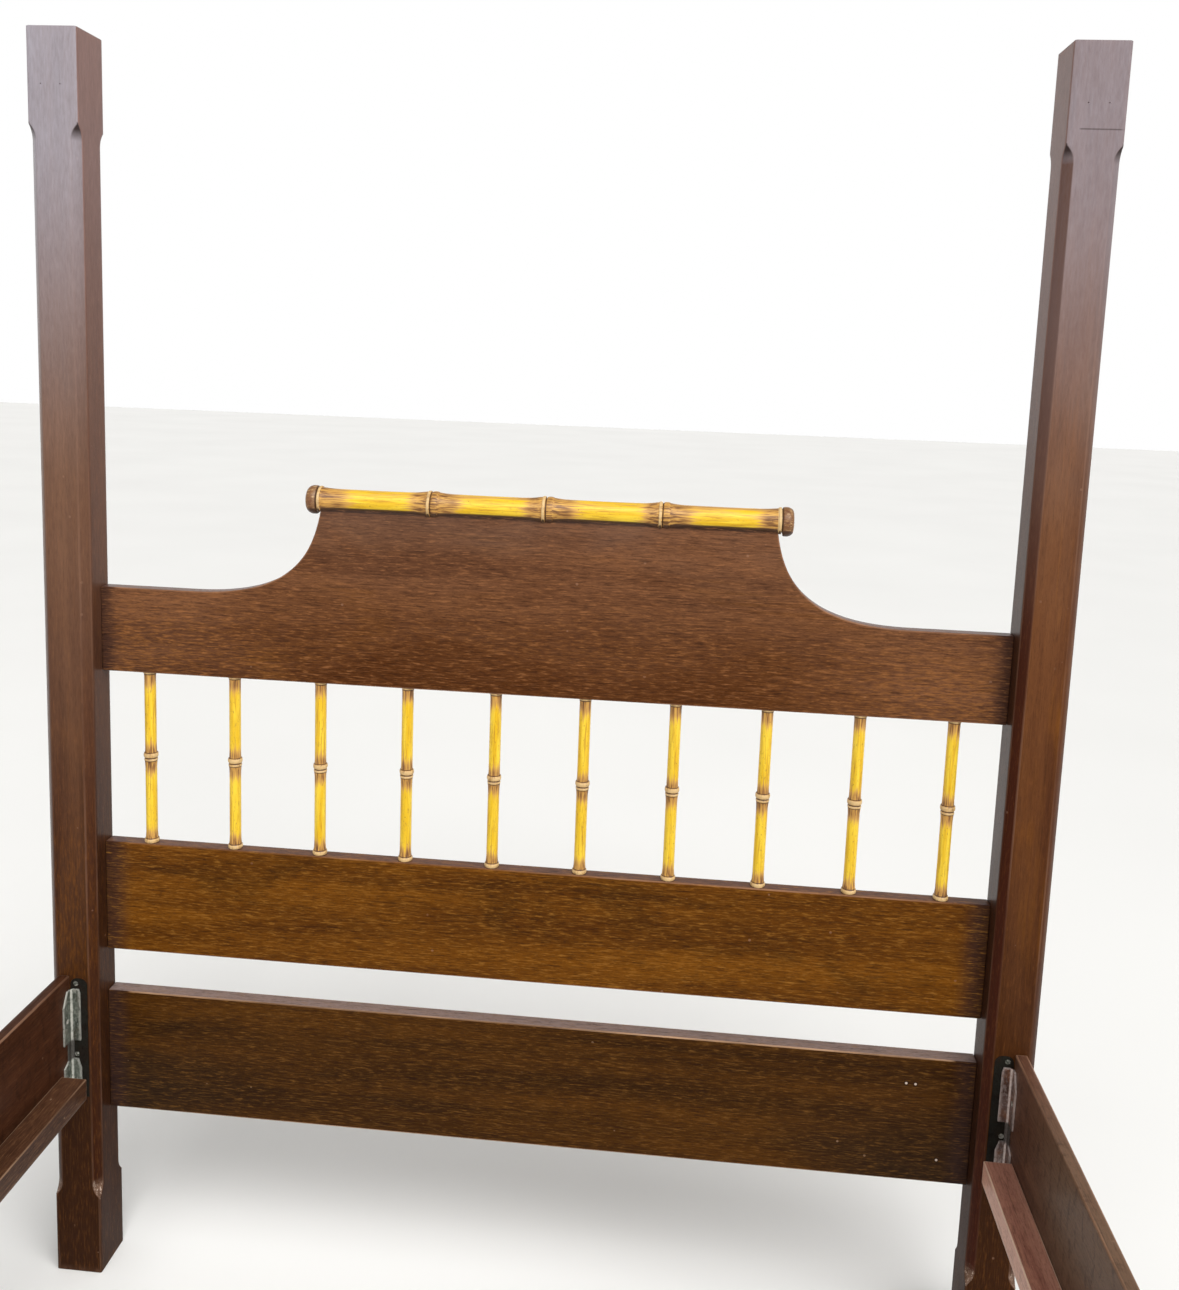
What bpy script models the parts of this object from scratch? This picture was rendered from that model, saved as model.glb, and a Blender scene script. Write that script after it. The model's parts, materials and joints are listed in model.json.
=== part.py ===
"""Four-poster bed with faux-bamboo turnings.

Metres, +Z up, +Y towards the head of the bed, origin on the floor under the middle of the bed.
Most pieces are placed by side (-1 left, +1 right) and end (-1 foot, +1 head): across, along and
up are measured from the origin outwards, so one description serves all four corners.
"""

import math

import bmesh
import bpy
from mathutils import Matrix, Vector
from mathutils.geometry import interpolate_bezier

# Clearances
GAP = 0.0003  # between pieces that touch
END_ROOM = 0.0010  # beyond a tenon, dowel or hook

# Overall
CLEAR_WIDTH = 1.4732  # between the posts of one end
CLEAR_LENGTH = 2.032  # between the head posts and the foot posts
POST_SECTION = 0.0806
POST_HEIGHT = 2.093

# Posts
FOOT_BLOCK = 0.143  # square part below the chamfers
HEAD_BLOCK = 0.143  # square part above them
CHAMFER_LEG = 0.0125
STOP_LENGTH = 0.028  # lamb's-tongue run-out at both ends of a chamfer
CUTTER_PAST = 0.01  # how far a chamfer's cutter stands outside the post
CUTTER_WIDTH = 0.05

# Cross boards of the headboard and the footboard
BOARD_SETBACK = 0.0417  # from a post's face towards the bed
BOARD_THICKNESS = 0.0248
BOTTOM_BOARD_THICKNESS = 0.027
BOTTOM_BOARD_Z = 0.2909
BOTTOM_BOARD_HEIGHT = 0.2179
MIDDLE_BOARD_Z = 0.5851
MIDDLE_BOARD_HEIGHT = 0.1937
TENON_LENGTH = 0.045
TENON_THICKNESS = 0.009
TENON_SHOULDER = 0.020  # above and below a tenon

# Crest panel
CREST_Z = 1.0772
CREST_END_HEIGHT = 0.1423
CREST_TOP_HALF_WIDTH = 0.3645
SHOULDER_RUN = 0.2159  # width of one concave shoulder
SHOULDER_LEAN = math.radians(81)  # slope of the shoulder where it meets the roll
SHOULDER_TOP_PULL = 0.0838
SHOULDER_FOOT_PULL = 0.1665
SHOULDER_POINTS = 13

# Bamboo roll
ROLL_Z = 1.3797
ROLL_HALF_LENGTH = 0.389
ROLL_SHAFT_RADIUS = 0.0187
ROLL_NODE_RADIUS = 0.0227
ROLL_NODE_PITCH = 0.185
ROLL_NODE_HALF_WIDTH = 0.007
ROLL_FLARE = 0.024
ROLL_BUTTON = 0.0165  # end cap, outside the groove
ROLL_BUTTON_FACE = 0.75  # flat part of its end, as a share of its radius
ROLL_BUTTON_ROUND = 0.25  # rounded part, as a share of its length
ROLL_GROOVE_WIDTH = 0.0025
ROLL_GROOVE_DEPTH = 0.0035
ROLL_SEAT_DEPTH = 0.008  # groove for the crest panel
ROLL_SIDES = 24

# Bamboo spindles
SPINDLE_COUNT = 10
SPINDLE_PITCH = 0.1465
SPINDLE_SHAFT_RADIUS = 0.0093
SPINDLE_NODE_RADIUS = 0.0122
SPINDLE_TOP_RADIUS = 0.0108
SPINDLE_NODE_HALF_WIDTH = 0.0045
SPINDLE_FLARE = 0.012
SPINDLE_RING = 0.003
DOWEL_RADIUS = 0.0055
DOWEL_LENGTH = 0.011
SPINDLE_SIDES = 12

# Side rails, ledgers and slats
RAIL_INSET = 0.0163  # of a side rail's outer face, from the post's outer face
RAIL_THICKNESS = 0.0187
RAIL_Z = 0.345
RAIL_HEIGHT = 0.209
LEDGER_WIDTH = 0.0445
LEDGER_HEIGHT = 0.0369
LEDGER_Z = 0.3531
LEDGER_END_SETBACK = 0.0343
SLAT_COUNT = 4
SLAT_PITCH = 0.2907
SLAT_WIDTH = 0.089
SLAT_THICKNESS = 0.019
SLAT_END_PLAY = 0.004

# Rail fasteners: the plate in the post and the hooked bracket on the rail
PLATE_WIDTH = 0.0297
PLATE_START = 0.0008  # from the rail's inner face, towards the bed's middle
PLATE_THICKNESS = 0.0025
PLATE_Z = 0.334
PLATE_TOP_Z = 0.549
PLATE_CORNER_RADIUS = 0.012
CORNER_POINTS = 5
BRACKET_Z = 0.352
BRACKET_TOP_Z = 0.5305
BRACKET_GAP_Z = (0.4045, 0.438)  # open between the two lugs
BRACKET_WIDTH = 0.017
BRACKET_LEG = 0.024  # along the rail
BRACKET_NECK = 0.011
BRACKET_THICKNESS = 0.0025
BRACKET_SLANT = 0.025
LUG_CORNER = 0.0085
LUG_CORNER_CUT = 0.0023
LOW_LUG_CUT = 0.0053
HOOK_ACROSS = 0.0103  # middle of the hooks, from the rail's inner face
HOOK_THICKNESS = 0.003
HOOK_Z = (0.372, 0.470)  # undersides of the hooks' necks
HOOK_NECK = 0.012
HOOK_DROP = 0.008
HOOK_SIDE_PLAY = 0.0008
LIFT = 0.0085  # that frees a hook; a little more than its drop

# Screws
SCREW_HEAD_RADIUS = 0.0042
SCREW_HEAD_DEPTH = 0.0022
SCREW_SHANK_RADIUS = 0.0019
SCREW_TIP = 0.003
SCREW_SLOT_WIDTH = 0.0010
SCREW_SLOT_DEPTH = 0.0009
SCREW_SINK = 0.0001  # of a head below the metal's face
SCREW_SIDES = 12
PLATE_SCREW_LENGTH = 0.022
PLATE_SCREW_Z = (0.3425, 0.4115, 0.5395)
BRACKET_SCREW_LENGTH = 0.015
BRACKET_SCREW_ALONG = 0.0145  # from the post's face
BRACKET_SCREW_Z = (0.372, 0.478)

# Worked out from the above
POST_MIDDLE_ACROSS = CLEAR_WIDTH / 2 + POST_SECTION / 2
POST_MIDDLE_ALONG = CLEAR_LENGTH / 2 + POST_SECTION / 2
BOARD_MIDDLE = BOARD_SETBACK + BOARD_THICKNESS / 2  # along, from the posts' near face
BOTTOM_BOARD_MIDDLE = BOARD_SETBACK + BOTTOM_BOARD_THICKNESS / 2
CREST_TOP_Z = ROLL_Z - ROLL_SHAFT_RADIUS + ROLL_SEAT_DEPTH - GAP
RAIL_INNER = CLEAR_WIDTH / 2 + POST_SECTION - RAIL_INSET - RAIL_THICKNESS
SLAT_Z = LEDGER_Z + LEDGER_HEIGHT + GAP
SIDES = {"left": -1, "right": 1}
ENDS = {"head": 1, "foot": -1}
BIG = 0.05  # how far a cutter stands past what it cuts


def start_scene():
    for obj in list(bpy.data.objects):
        bpy.data.objects.remove(obj, do_unlink=True)
    collections = {}
    for name in ("four_poster_bed", "cutters"):
        collections[name] = bpy.data.collections.new(name)
        bpy.context.scene.collection.children.link(collections[name])
    collections["cutters"].hide_render = True
    return collections["four_poster_bed"], collections["cutters"]


def make_material(name, color, roughness, metallic=0.0):
    material = bpy.data.materials.new(name)
    material.use_nodes = True
    shader = material.node_tree.nodes["Principled BSDF"]
    shader.inputs["Base Color"].default_value = (*color, 1.0)
    shader.inputs["Roughness"].default_value = roughness
    shader.inputs["Metallic"].default_value = metallic
    material.diffuse_color = (*color, 1.0)
    return material


PARTS, CUTTERS = start_scene()
MAHOGANY = make_material("mahogany", (0.115, 0.045, 0.018), 0.42)
BAMBOO_PAINT = make_material("bamboo_paint", (0.78, 0.52, 0.03), 0.38)
STEEL = make_material("steel", (0.35, 0.34, 0.31), 0.45, 1.0)
SLAT_WOOD = make_material("slat_wood", (0.42, 0.27, 0.14), 0.6)


def make_group(name, location=(0, 0, 0)):
    """An empty that carries the pieces of one assembly."""
    empty = bpy.data.objects.new(name, None)
    empty.empty_display_size = 0.1
    empty.location = location
    PARTS.objects.link(empty)
    return empty


def add_piece(name, mesh, material, group, location=(0, 0, 0), rotation=(0, 0, 0)):
    """A named piece at a place given in world coordinates."""
    obj = bpy.data.objects.new(name, mesh)
    obj.location = Vector(location) - group.location
    obj.rotation_euler = rotation
    obj.parent = group
    if not mesh.materials:
        mesh.materials.append(material)
    PARTS.objects.link(obj)
    return obj


def add_cutter(name, mesh, location=(0, 0, 0), rotation=(0, 0, 0)):
    obj = bpy.data.objects.new(name, mesh)
    obj.location = location
    obj.rotation_euler = rotation
    obj.hide_render = True
    obj.display_type = "WIRE"
    CUTTERS.objects.link(obj)
    return obj


def combine(obj, other, operation="DIFFERENCE"):
    modifier = obj.modifiers.new(f"{operation.lower()}_{other.name}", "BOOLEAN")
    modifier.operation = operation
    modifier.object = other
    modifier.solver = "EXACT"


def box_mesh(name, size):
    mesh = bpy.data.meshes.new(name)
    cube = bmesh.new()
    bmesh.ops.create_cube(cube, size=1.0)
    bmesh.ops.scale(cube, vec=size, verts=cube.verts)
    cube.to_mesh(mesh)
    cube.free()
    return mesh


def outline_mesh(name, outline, thickness, turn):
    """A flat outline as a plate of one thickness; turn takes its plane where the piece needs it."""
    curve = bpy.data.curves.new(name, "CURVE")
    curve.dimensions = "2D"
    curve.fill_mode = "BOTH"
    curve.extrude = thickness / 2
    spline = curve.splines.new("POLY")
    spline.points.add(len(outline) - 1)
    for point, (x, y) in zip(spline.points, outline):
        point.co = (x, y, 0, 1)
    spline.use_cyclic_u = True
    guide = bpy.data.objects.new(name, curve)
    PARTS.objects.link(guide)
    mesh = bpy.data.meshes.new_from_object(guide.evaluated_get(bpy.context.evaluated_depsgraph_get()))
    bpy.data.objects.remove(guide, do_unlink=True)
    bpy.data.curves.remove(curve)
    plate = bmesh.new()
    plate.from_mesh(mesh)
    bmesh.ops.remove_doubles(plate, verts=plate.verts, dist=1e-6)
    bmesh.ops.transform(plate, matrix=turn, verts=plate.verts)
    bmesh.ops.recalc_face_normals(plate, faces=plate.faces)
    plate.to_mesh(mesh)
    plate.free()
    return mesh


def turned_mesh(name, profile, sides, turn=None):
    """A profile of (radius, height) points, from the top down, turned about Z with a Screw modifier."""
    mesh = bpy.data.meshes.new(name)
    line = bmesh.new()
    points = [line.verts.new((radius, 0, height)) for radius, height in profile]
    for a, b in zip(points, points[1:]):
        line.edges.new((a, b))
    line.to_mesh(mesh)
    line.free()
    guide = bpy.data.objects.new(name, mesh)
    screw = guide.modifiers.new("turn", "SCREW")
    screw.steps = sides
    screw.render_steps = sides
    screw.use_merge_vertices = True
    screw.merge_threshold = 0.00001
    PARTS.objects.link(guide)
    turned = bpy.data.meshes.new_from_object(guide.evaluated_get(bpy.context.evaluated_depsgraph_get()))
    bpy.data.objects.remove(guide, do_unlink=True)
    bpy.data.meshes.remove(mesh)
    turned.name = name
    if turn:
        turned.transform(turn)
    turned.shade_smooth()
    turned.set_sharp_from_angle(angle=math.radians(35))
    return turned


def span_box(name, side, end, across, along, up):
    """(mesh, centre) of a box given by its ranges outwards from the middle of the bed."""
    size = [high - low for low, high in (across, along, up)]
    centre = (side * sum(across) / 2, end * sum(along) / 2, sum(up) / 2)
    return box_mesh(name, size), centre


def cut_box(obj, name, side, end, across, along, up):
    combine(obj, add_cutter(name, *span_box(name, side, end, across, along, up)))


# ---------------------------------------------------------------- posts


def stop_chamfer_outline():
    """Cutter for one post edge, as (distance out along the diagonal, height)."""
    half_diagonal = POST_SECTION / math.sqrt(2)
    depth = CHAMFER_LEG / math.sqrt(2)
    floor = half_diagonal - depth
    low = FOOT_BLOCK
    high = POST_HEIGHT - HEAD_BLOCK
    past = half_diagonal + CUTTER_PAST
    rise = STOP_LENGTH * CUTTER_PAST / depth
    return [
        (past, low - rise),
        (past, high + rise),
        (floor, high - STOP_LENGTH),
        (floor, low + STOP_LENGTH),
    ]


def plate_outline(room):
    """Post plate seen along the bed, as (distance from the rail's inner face, height)."""
    left = PLATE_START - room
    right = PLATE_START + PLATE_WIDTH + room
    radius = PLATE_CORNER_RADIUS + room
    top = PLATE_TOP_Z + room
    points = [(left, PLATE_Z - room), (right, PLATE_Z - room)]
    for centre_x, first in ((right - radius, 0), (left + radius, 90)):
        for step in range(CORNER_POINTS):
            angle = math.radians(first + 90 * step / (CORNER_POINTS - 1))
            points.append((centre_x + radius * math.cos(angle), top - radius + radius * math.sin(angle)))
    return points


def facing_plate(side, end, near_face, thickness):
    """Turns an outline of (distance from the rail's inner face, height) to face the bed's middle."""
    basis = Matrix(((-side, 0, 0), (0, 0, end), (0, 1, 0))).to_4x4()
    middle = near_face + thickness / 2
    return Matrix.Translation((side * RAIL_INNER, end * middle, 0)) @ basis


def add_post(side_name, end_name, group):
    side = SIDES[side_name]
    end = ENDS[end_name]
    name = f"{end_name}_post_{side_name}"
    inner = CLEAR_WIDTH / 2
    face = CLEAR_LENGTH / 2
    mesh, centre = span_box(
        name, side, end, (inner, inner + POST_SECTION), (face, face + POST_SECTION), (0, POST_HEIGHT)
    )
    post = add_piece(name, mesh, MAHOGANY, group, centre)

    for corner in range(4):
        turn = Matrix.Rotation(math.radians(45 + 90 * corner), 4, "Z") @ Matrix.Rotation(math.pi / 2, 4, "X")
        cutter = outline_mesh(f"{name}_chamfer_{corner}", stop_chamfer_outline(), CUTTER_WIDTH, turn)
        where = (side * POST_MIDDLE_ACROSS, end * POST_MIDDLE_ALONG, 0)
        combine(post, add_cutter(cutter.name, cutter, where))

    boards = [
        ("bottom", BOTTOM_BOARD_Z, BOTTOM_BOARD_HEIGHT, BOTTOM_BOARD_MIDDLE),
        ("middle", MIDDLE_BOARD_Z, MIDDLE_BOARD_HEIGHT, BOARD_MIDDLE),
    ]
    if end_name == "head":
        boards.append(("crest", CREST_Z, CREST_END_HEIGHT, BOARD_MIDDLE))
    for board, low, height, middle in boards:
        half = TENON_THICKNESS / 2 + GAP
        across = (inner - BIG, inner + TENON_LENGTH + END_ROOM)
        along = (face + middle - half, face + middle + half)
        up = (low + TENON_SHOULDER - GAP, low + height - TENON_SHOULDER + GAP)
        cut_box(post, f"{name}_{board}_mortise", side, end, across, along, up)

    recess_depth = PLATE_THICKNESS + GAP
    turn = facing_plate(side, end, face - BIG, BIG + recess_depth)
    recess = outline_mesh(f"{name}_plate_recess", plate_outline(GAP), BIG + recess_depth, turn)
    combine(post, add_cutter(recess.name, recess))
    hook_reach = recess_depth + GAP + BRACKET_THICKNESS + END_ROOM
    for number, low in enumerate(HOOK_Z):
        half = HOOK_THICKNESS / 2 + HOOK_SIDE_PLAY
        middle = RAIL_INNER - HOOK_ACROSS
        up = (low - HOOK_DROP - END_ROOM, low + HOOK_NECK + LIFT + END_ROOM)
        along = (face - BIG, face + hook_reach)
        cut_box(post, f"{name}_hook_pocket_{number}", side, end, (middle - half, middle + half), along, up)
    for number, height in enumerate(PLATE_SCREW_Z):
        hole = turned_mesh(f"{name}_pilot_{number}", pilot_profile(PLATE_SCREW_LENGTH), SCREW_SIDES)
        where = (side * (RAIL_INNER - HOOK_ACROSS), end * face, height)
        combine(post, add_cutter(hole.name, hole, where, plate_screw_rotation(end)))


# ---------------------------------------------------------------- cross boards


def add_tenons(board, name, end, low, height, middle):
    """One bar through the board whose ends are the two tenons."""
    half_length = CLEAR_WIDTH / 2 + TENON_LENGTH
    half = TENON_THICKNESS / 2
    along = (CLEAR_LENGTH / 2 + middle - half, CLEAR_LENGTH / 2 + middle + half)
    up = (low + TENON_SHOULDER, low + height - TENON_SHOULDER)
    mesh, centre = span_box(f"{name}_tenons", 1, end, (-half_length, half_length), along, up)
    combine(board, add_cutter(f"{name}_tenons", mesh, centre), "UNION")


def add_cross_board(name, end, low, height, thickness, group):
    half = CLEAR_WIDTH / 2 - GAP
    near = CLEAR_LENGTH / 2 + BOARD_SETBACK
    mesh, centre = span_box(name, 1, end, (-half, half), (near, near + thickness), (low, low + height))
    board = add_piece(name, mesh, MAHOGANY, group, centre)
    add_tenons(board, name, end, low, height, BOARD_SETBACK + thickness / 2)
    return board


def shoulder_curve():
    """The concave shoulder on the right, from the roll down and out."""
    top = Vector((CREST_TOP_HALF_WIDTH, CREST_TOP_Z))
    foot = Vector((CREST_TOP_HALF_WIDTH + SHOULDER_RUN, CREST_Z + CREST_END_HEIGHT))
    top_pull = Vector((math.cos(SHOULDER_LEAN), -math.sin(SHOULDER_LEAN))) * SHOULDER_TOP_PULL
    foot_pull = Vector((-SHOULDER_FOOT_PULL, 0))
    points = interpolate_bezier(
        top.to_3d(), (top + top_pull).to_3d(), (foot + foot_pull).to_3d(), foot.to_3d(), SHOULDER_POINTS
    )
    return [(point.x, point.y) for point in points]


def add_crest_panel(group):
    half = CLEAR_WIDTH / 2 - GAP
    right = [(half, CREST_Z), (half, CREST_Z + CREST_END_HEIGHT)] + shoulder_curve()[::-1]
    outline = right + [(-x, z) for x, z in reversed(right)]
    along = CLEAR_LENGTH / 2 + BOARD_MIDDLE
    mesh = outline_mesh("crest_panel", outline, BOARD_THICKNESS, Matrix.Rotation(math.pi / 2, 4, "X"))
    panel = add_piece("crest_panel", mesh, MAHOGANY, group, (0, along, 0))
    add_tenons(panel, "crest_panel", 1, CREST_Z, CREST_END_HEIGHT, BOARD_MIDDLE)
    return panel


def cut_dowel_holes(board, face_z, into):
    """Blind holes for the spindles' dowel ends; into is -1 for a hole that goes down."""
    along = CLEAR_LENGTH / 2 + BOARD_MIDDLE
    depth = DOWEL_LENGTH + END_ROOM
    for number, across in enumerate(spindle_places()):
        tall = depth + BIG
        radius = DOWEL_RADIUS + GAP
        profile = [(0, tall / 2), (radius, tall / 2), (radius, -tall / 2), (0, -tall / 2)]
        hole = turned_mesh(f"{board.name}_dowel_hole_{number}", profile, SPINDLE_SIDES)
        where = (across, along, face_z + into * (depth - BIG) / 2)
        combine(board, add_cutter(hole.name, hole, where))


# ---------------------------------------------------------------- bamboo turnings


def add_roll(group):
    end_radius = ROLL_NODE_RADIUS
    half_profile = [
        (0, ROLL_HALF_LENGTH),
        (end_radius * ROLL_BUTTON_FACE, ROLL_HALF_LENGTH),
        (end_radius, ROLL_HALF_LENGTH - ROLL_BUTTON * ROLL_BUTTON_ROUND),
        (end_radius, ROLL_HALF_LENGTH - ROLL_BUTTON + ROLL_GROOVE_WIDTH),
        (end_radius - ROLL_GROOVE_DEPTH, ROLL_HALF_LENGTH - ROLL_BUTTON),
        (end_radius, ROLL_HALF_LENGTH - ROLL_BUTTON - ROLL_GROOVE_WIDTH),
        (ROLL_SHAFT_RADIUS, ROLL_HALF_LENGTH - ROLL_BUTTON - ROLL_FLARE),
    ]
    for node in (1, 0):
        middle = node * ROLL_NODE_PITCH
        half_profile += [
            (ROLL_SHAFT_RADIUS, middle + ROLL_NODE_HALF_WIDTH + ROLL_FLARE),
            (ROLL_NODE_RADIUS, middle + ROLL_NODE_HALF_WIDTH),
            (ROLL_NODE_RADIUS - ROLL_GROOVE_DEPTH / 2, middle),
        ]
        if node:
            half_profile += [
                (ROLL_NODE_RADIUS, middle - ROLL_NODE_HALF_WIDTH),
                (ROLL_SHAFT_RADIUS, middle - ROLL_NODE_HALF_WIDTH - ROLL_FLARE),
            ]
    profile = half_profile + [(radius, -height) for radius, height in reversed(half_profile[:-1])]
    mesh = turned_mesh("crest_roll", profile, ROLL_SIDES, Matrix.Rotation(math.pi / 2, 4, "Y"))
    along = CLEAR_LENGTH / 2 + BOARD_MIDDLE
    roll = add_piece("crest_roll", mesh, BAMBOO_PAINT, group, (0, along, ROLL_Z))
    half = BOARD_THICKNESS / 2 + GAP
    reach = CREST_TOP_HALF_WIDTH + ROLL_SEAT_DEPTH + GAP
    cut_box(
        roll, "crest_roll_seat", 1, 1, (-reach, reach), (along - half, along + half),
        (CREST_TOP_Z - ROLL_SEAT_DEPTH - BIG, CREST_TOP_Z + GAP),
    )


def spindle_places():
    return [SPINDLE_PITCH * (number - (SPINDLE_COUNT - 1) / 2) for number in range(SPINDLE_COUNT)]


def add_spindles(group):
    low = MIDDLE_BOARD_Z + MIDDLE_BOARD_HEIGHT + GAP
    high = CREST_Z - GAP
    half = (high - low) / 2
    node = SPINDLE_NODE_HALF_WIDTH
    profile = [
        (0, half + DOWEL_LENGTH),
        (DOWEL_RADIUS, half + DOWEL_LENGTH),
        (DOWEL_RADIUS, half),
        (SPINDLE_TOP_RADIUS, half),
        (SPINDLE_TOP_RADIUS, half - SPINDLE_RING),
        (SPINDLE_SHAFT_RADIUS, half - SPINDLE_FLARE),
        (SPINDLE_SHAFT_RADIUS, node + SPINDLE_FLARE),
        (SPINDLE_NODE_RADIUS, node),
        (SPINDLE_NODE_RADIUS, -node),
        (SPINDLE_SHAFT_RADIUS, -node - SPINDLE_FLARE),
        (SPINDLE_SHAFT_RADIUS, -half + 2 * SPINDLE_FLARE),
        (SPINDLE_NODE_RADIUS, -half + SPINDLE_RING),
        (SPINDLE_NODE_RADIUS, -half),
        (DOWEL_RADIUS, -half),
        (DOWEL_RADIUS, -half - DOWEL_LENGTH),
        (0, -half - DOWEL_LENGTH),
    ]
    mesh = turned_mesh("spindle", profile, SPINDLE_SIDES)
    along = CLEAR_LENGTH / 2 + BOARD_MIDDLE
    for number, across in enumerate(spindle_places(), 1):
        add_piece(f"spindle_{number:02d}", mesh, BAMBOO_PAINT, group, (across, along, (low + high) / 2))


# ---------------------------------------------------------------- side rails and slats


def add_side_rail(side_name, group):
    side = SIDES[side_name]
    half = CLEAR_LENGTH / 2 - GAP
    name = f"side_rail_{side_name}"
    across = (RAIL_INNER, RAIL_INNER + RAIL_THICKNESS)
    mesh, centre = span_box(name, side, 1, across, (-half, half), (RAIL_Z, RAIL_Z + RAIL_HEIGHT))
    rail = add_piece(name, mesh, MAHOGANY, group, centre)
    for end_name, end in ENDS.items():
        for number, height in enumerate(BRACKET_SCREW_Z):
            cut = f"{name}_pilot_{end_name}_{number}"
            hole = turned_mesh(cut, pilot_profile(BRACKET_SCREW_LENGTH), SCREW_SIDES)
            where = bracket_screw_place(side, end, height, 0)
            combine(rail, add_cutter(cut, hole, where, bracket_screw_rotation(side)))

    half = CLEAR_LENGTH / 2 - LEDGER_END_SETBACK
    name = f"ledger_{side_name}"
    across = (RAIL_INNER - LEDGER_WIDTH, RAIL_INNER - GAP)
    mesh, centre = span_box(name, side, 1, across, (-half, half), (LEDGER_Z, LEDGER_Z + LEDGER_HEIGHT))
    add_piece(name, mesh, MAHOGANY, group, centre)


def add_slats(group):
    half = RAIL_INNER - SLAT_END_PLAY
    for number in range(SLAT_COUNT):
        middle = SLAT_PITCH * ((SLAT_COUNT - 1) / 2 - number)
        name = f"slat_{number + 1}"
        along = (middle - SLAT_WIDTH / 2, middle + SLAT_WIDTH / 2)
        mesh, centre = span_box(name, 1, 1, (-half, half), along, (SLAT_Z, SLAT_Z + SLAT_THICKNESS))
        add_piece(name, mesh, SLAT_WOOD, group, centre)


# ---------------------------------------------------------------- rail fasteners


def plate_screw_rotation(end):
    return (end * math.pi / 2, 0, 0)


def bracket_screw_rotation(side):
    return (0, -side * math.pi / 2, 0)


def bracket_screw_place(side, end, height, sink):
    face = RAIL_INNER - GAP - BRACKET_THICKNESS + sink
    return (side * face, end * (CLEAR_LENGTH / 2 - GAP - BRACKET_SCREW_ALONG), height)


def screw_profile(length, room=0.0):
    """Countersunk screw with its head's face at height 0; room widens it all round for its hole."""
    shank = SCREW_SHANK_RADIUS + room
    return [
        (0, 0),
        (SCREW_HEAD_RADIUS + room, 0),
        (shank, -SCREW_HEAD_DEPTH - room),
        (shank, SCREW_TIP - length),
        (0, -length - room),
    ]


def pilot_profile(length):
    """Hole for a screw, long enough to pass the metal in front of the wood."""
    radius = SCREW_SHANK_RADIUS + GAP
    return [(0, BIG), (radius, BIG), (radius, SCREW_TIP - length), (0, -length - END_ROOM)]


def countersink_profile():
    """Hole through a metal plate: a cone that carries on past the face, and the shank's clearance."""
    head = SCREW_HEAD_RADIUS + GAP
    shank = SCREW_SHANK_RADIUS + GAP
    depth = SCREW_HEAD_DEPTH + GAP / 2
    past = 2 * SCREW_HEAD_DEPTH
    wide = head + (head - shank) * past / depth
    return [(0, past), (wide, past), (shank, -depth), (shank, -BIG), (0, -BIG)]


def screw_mesh(name, length):
    """One slotted screw, cut once and shared by every screw of its length."""
    blank = bpy.data.objects.new(name, turned_mesh(name, screw_profile(length), SCREW_SIDES))
    PARTS.objects.link(blank)
    slot = add_cutter(f"{name}_slot", box_mesh(f"{name}_slot", (BIG, SCREW_SLOT_WIDTH, 2 * SCREW_SLOT_DEPTH)))
    combine(blank, slot)
    mesh = bpy.data.meshes.new_from_object(blank.evaluated_get(bpy.context.evaluated_depsgraph_get()))
    bpy.data.objects.remove(blank, do_unlink=True)
    bpy.data.objects.remove(slot, do_unlink=True)
    mesh.materials.clear()
    return mesh


def add_post_plate(side_name, end_name, screw, group):
    side = SIDES[side_name]
    end = ENDS[end_name]
    name = f"post_plate_{end_name}_{side_name}"
    face = CLEAR_LENGTH / 2
    turn = facing_plate(side, end, face, PLATE_THICKNESS)
    plate = add_piece(name, outline_mesh(name, plate_outline(0), PLATE_THICKNESS, turn), STEEL, group)
    middle = RAIL_INNER - HOOK_ACROSS
    half = HOOK_THICKNESS / 2 + HOOK_SIDE_PLAY
    for number, low in enumerate(HOOK_Z):
        up = (low - GAP, low + HOOK_NECK + LIFT + 2 * GAP)
        across = (middle - half, middle + half)
        cut_box(plate, f"{name}_slot_{number}", side, end, across, (face - BIG, face + BIG), up)
    for number, height in enumerate(PLATE_SCREW_Z, 1):
        hole = turned_mesh(f"{name}_hole_{number}", countersink_profile(), SCREW_SIDES)
        where = (side * middle, end * (face + SCREW_SINK), height)
        combine(plate, add_cutter(hole.name, hole, where, plate_screw_rotation(end)))
        screw_name = f"plate_screw_{end_name}_{side_name}_{number}"
        add_piece(screw_name, screw, STEEL, group, where, plate_screw_rotation(end))


def bracket_outlines():
    """Two lugs against the post plate, and the leg on the rail.

    The lugs are (distance from the rail's inner face, height), the leg is (distance from the post, height).
    """
    gap_low, gap_high = BRACKET_GAP_Z
    out = BRACKET_WIDTH + GAP
    upper = [
        (GAP, gap_high),
        (out, gap_high),
        (out, BRACKET_TOP_Z - LUG_CORNER),
        (out - LUG_CORNER_CUT, BRACKET_TOP_Z),
        (GAP, BRACKET_TOP_Z),
    ]
    lower = [
        (GAP, BRACKET_Z),
        (out, BRACKET_Z),
        (out, gap_low - 2 * LUG_CORNER),
        (out - LOW_LUG_CUT, gap_low),
        (GAP, gap_low),
    ]
    leg = [
        (0, BRACKET_Z),
        (BRACKET_LEG, BRACKET_Z),
        (BRACKET_LEG, gap_low - LUG_CORNER),
        (BRACKET_NECK, gap_low),
        (BRACKET_NECK, gap_high),
        (BRACKET_LEG, gap_high),
        (BRACKET_LEG, BRACKET_TOP_Z - BRACKET_SLANT),
        (BRACKET_NECK, BRACKET_TOP_Z),
        (0, BRACKET_TOP_Z),
    ]
    return upper, lower, leg


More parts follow.
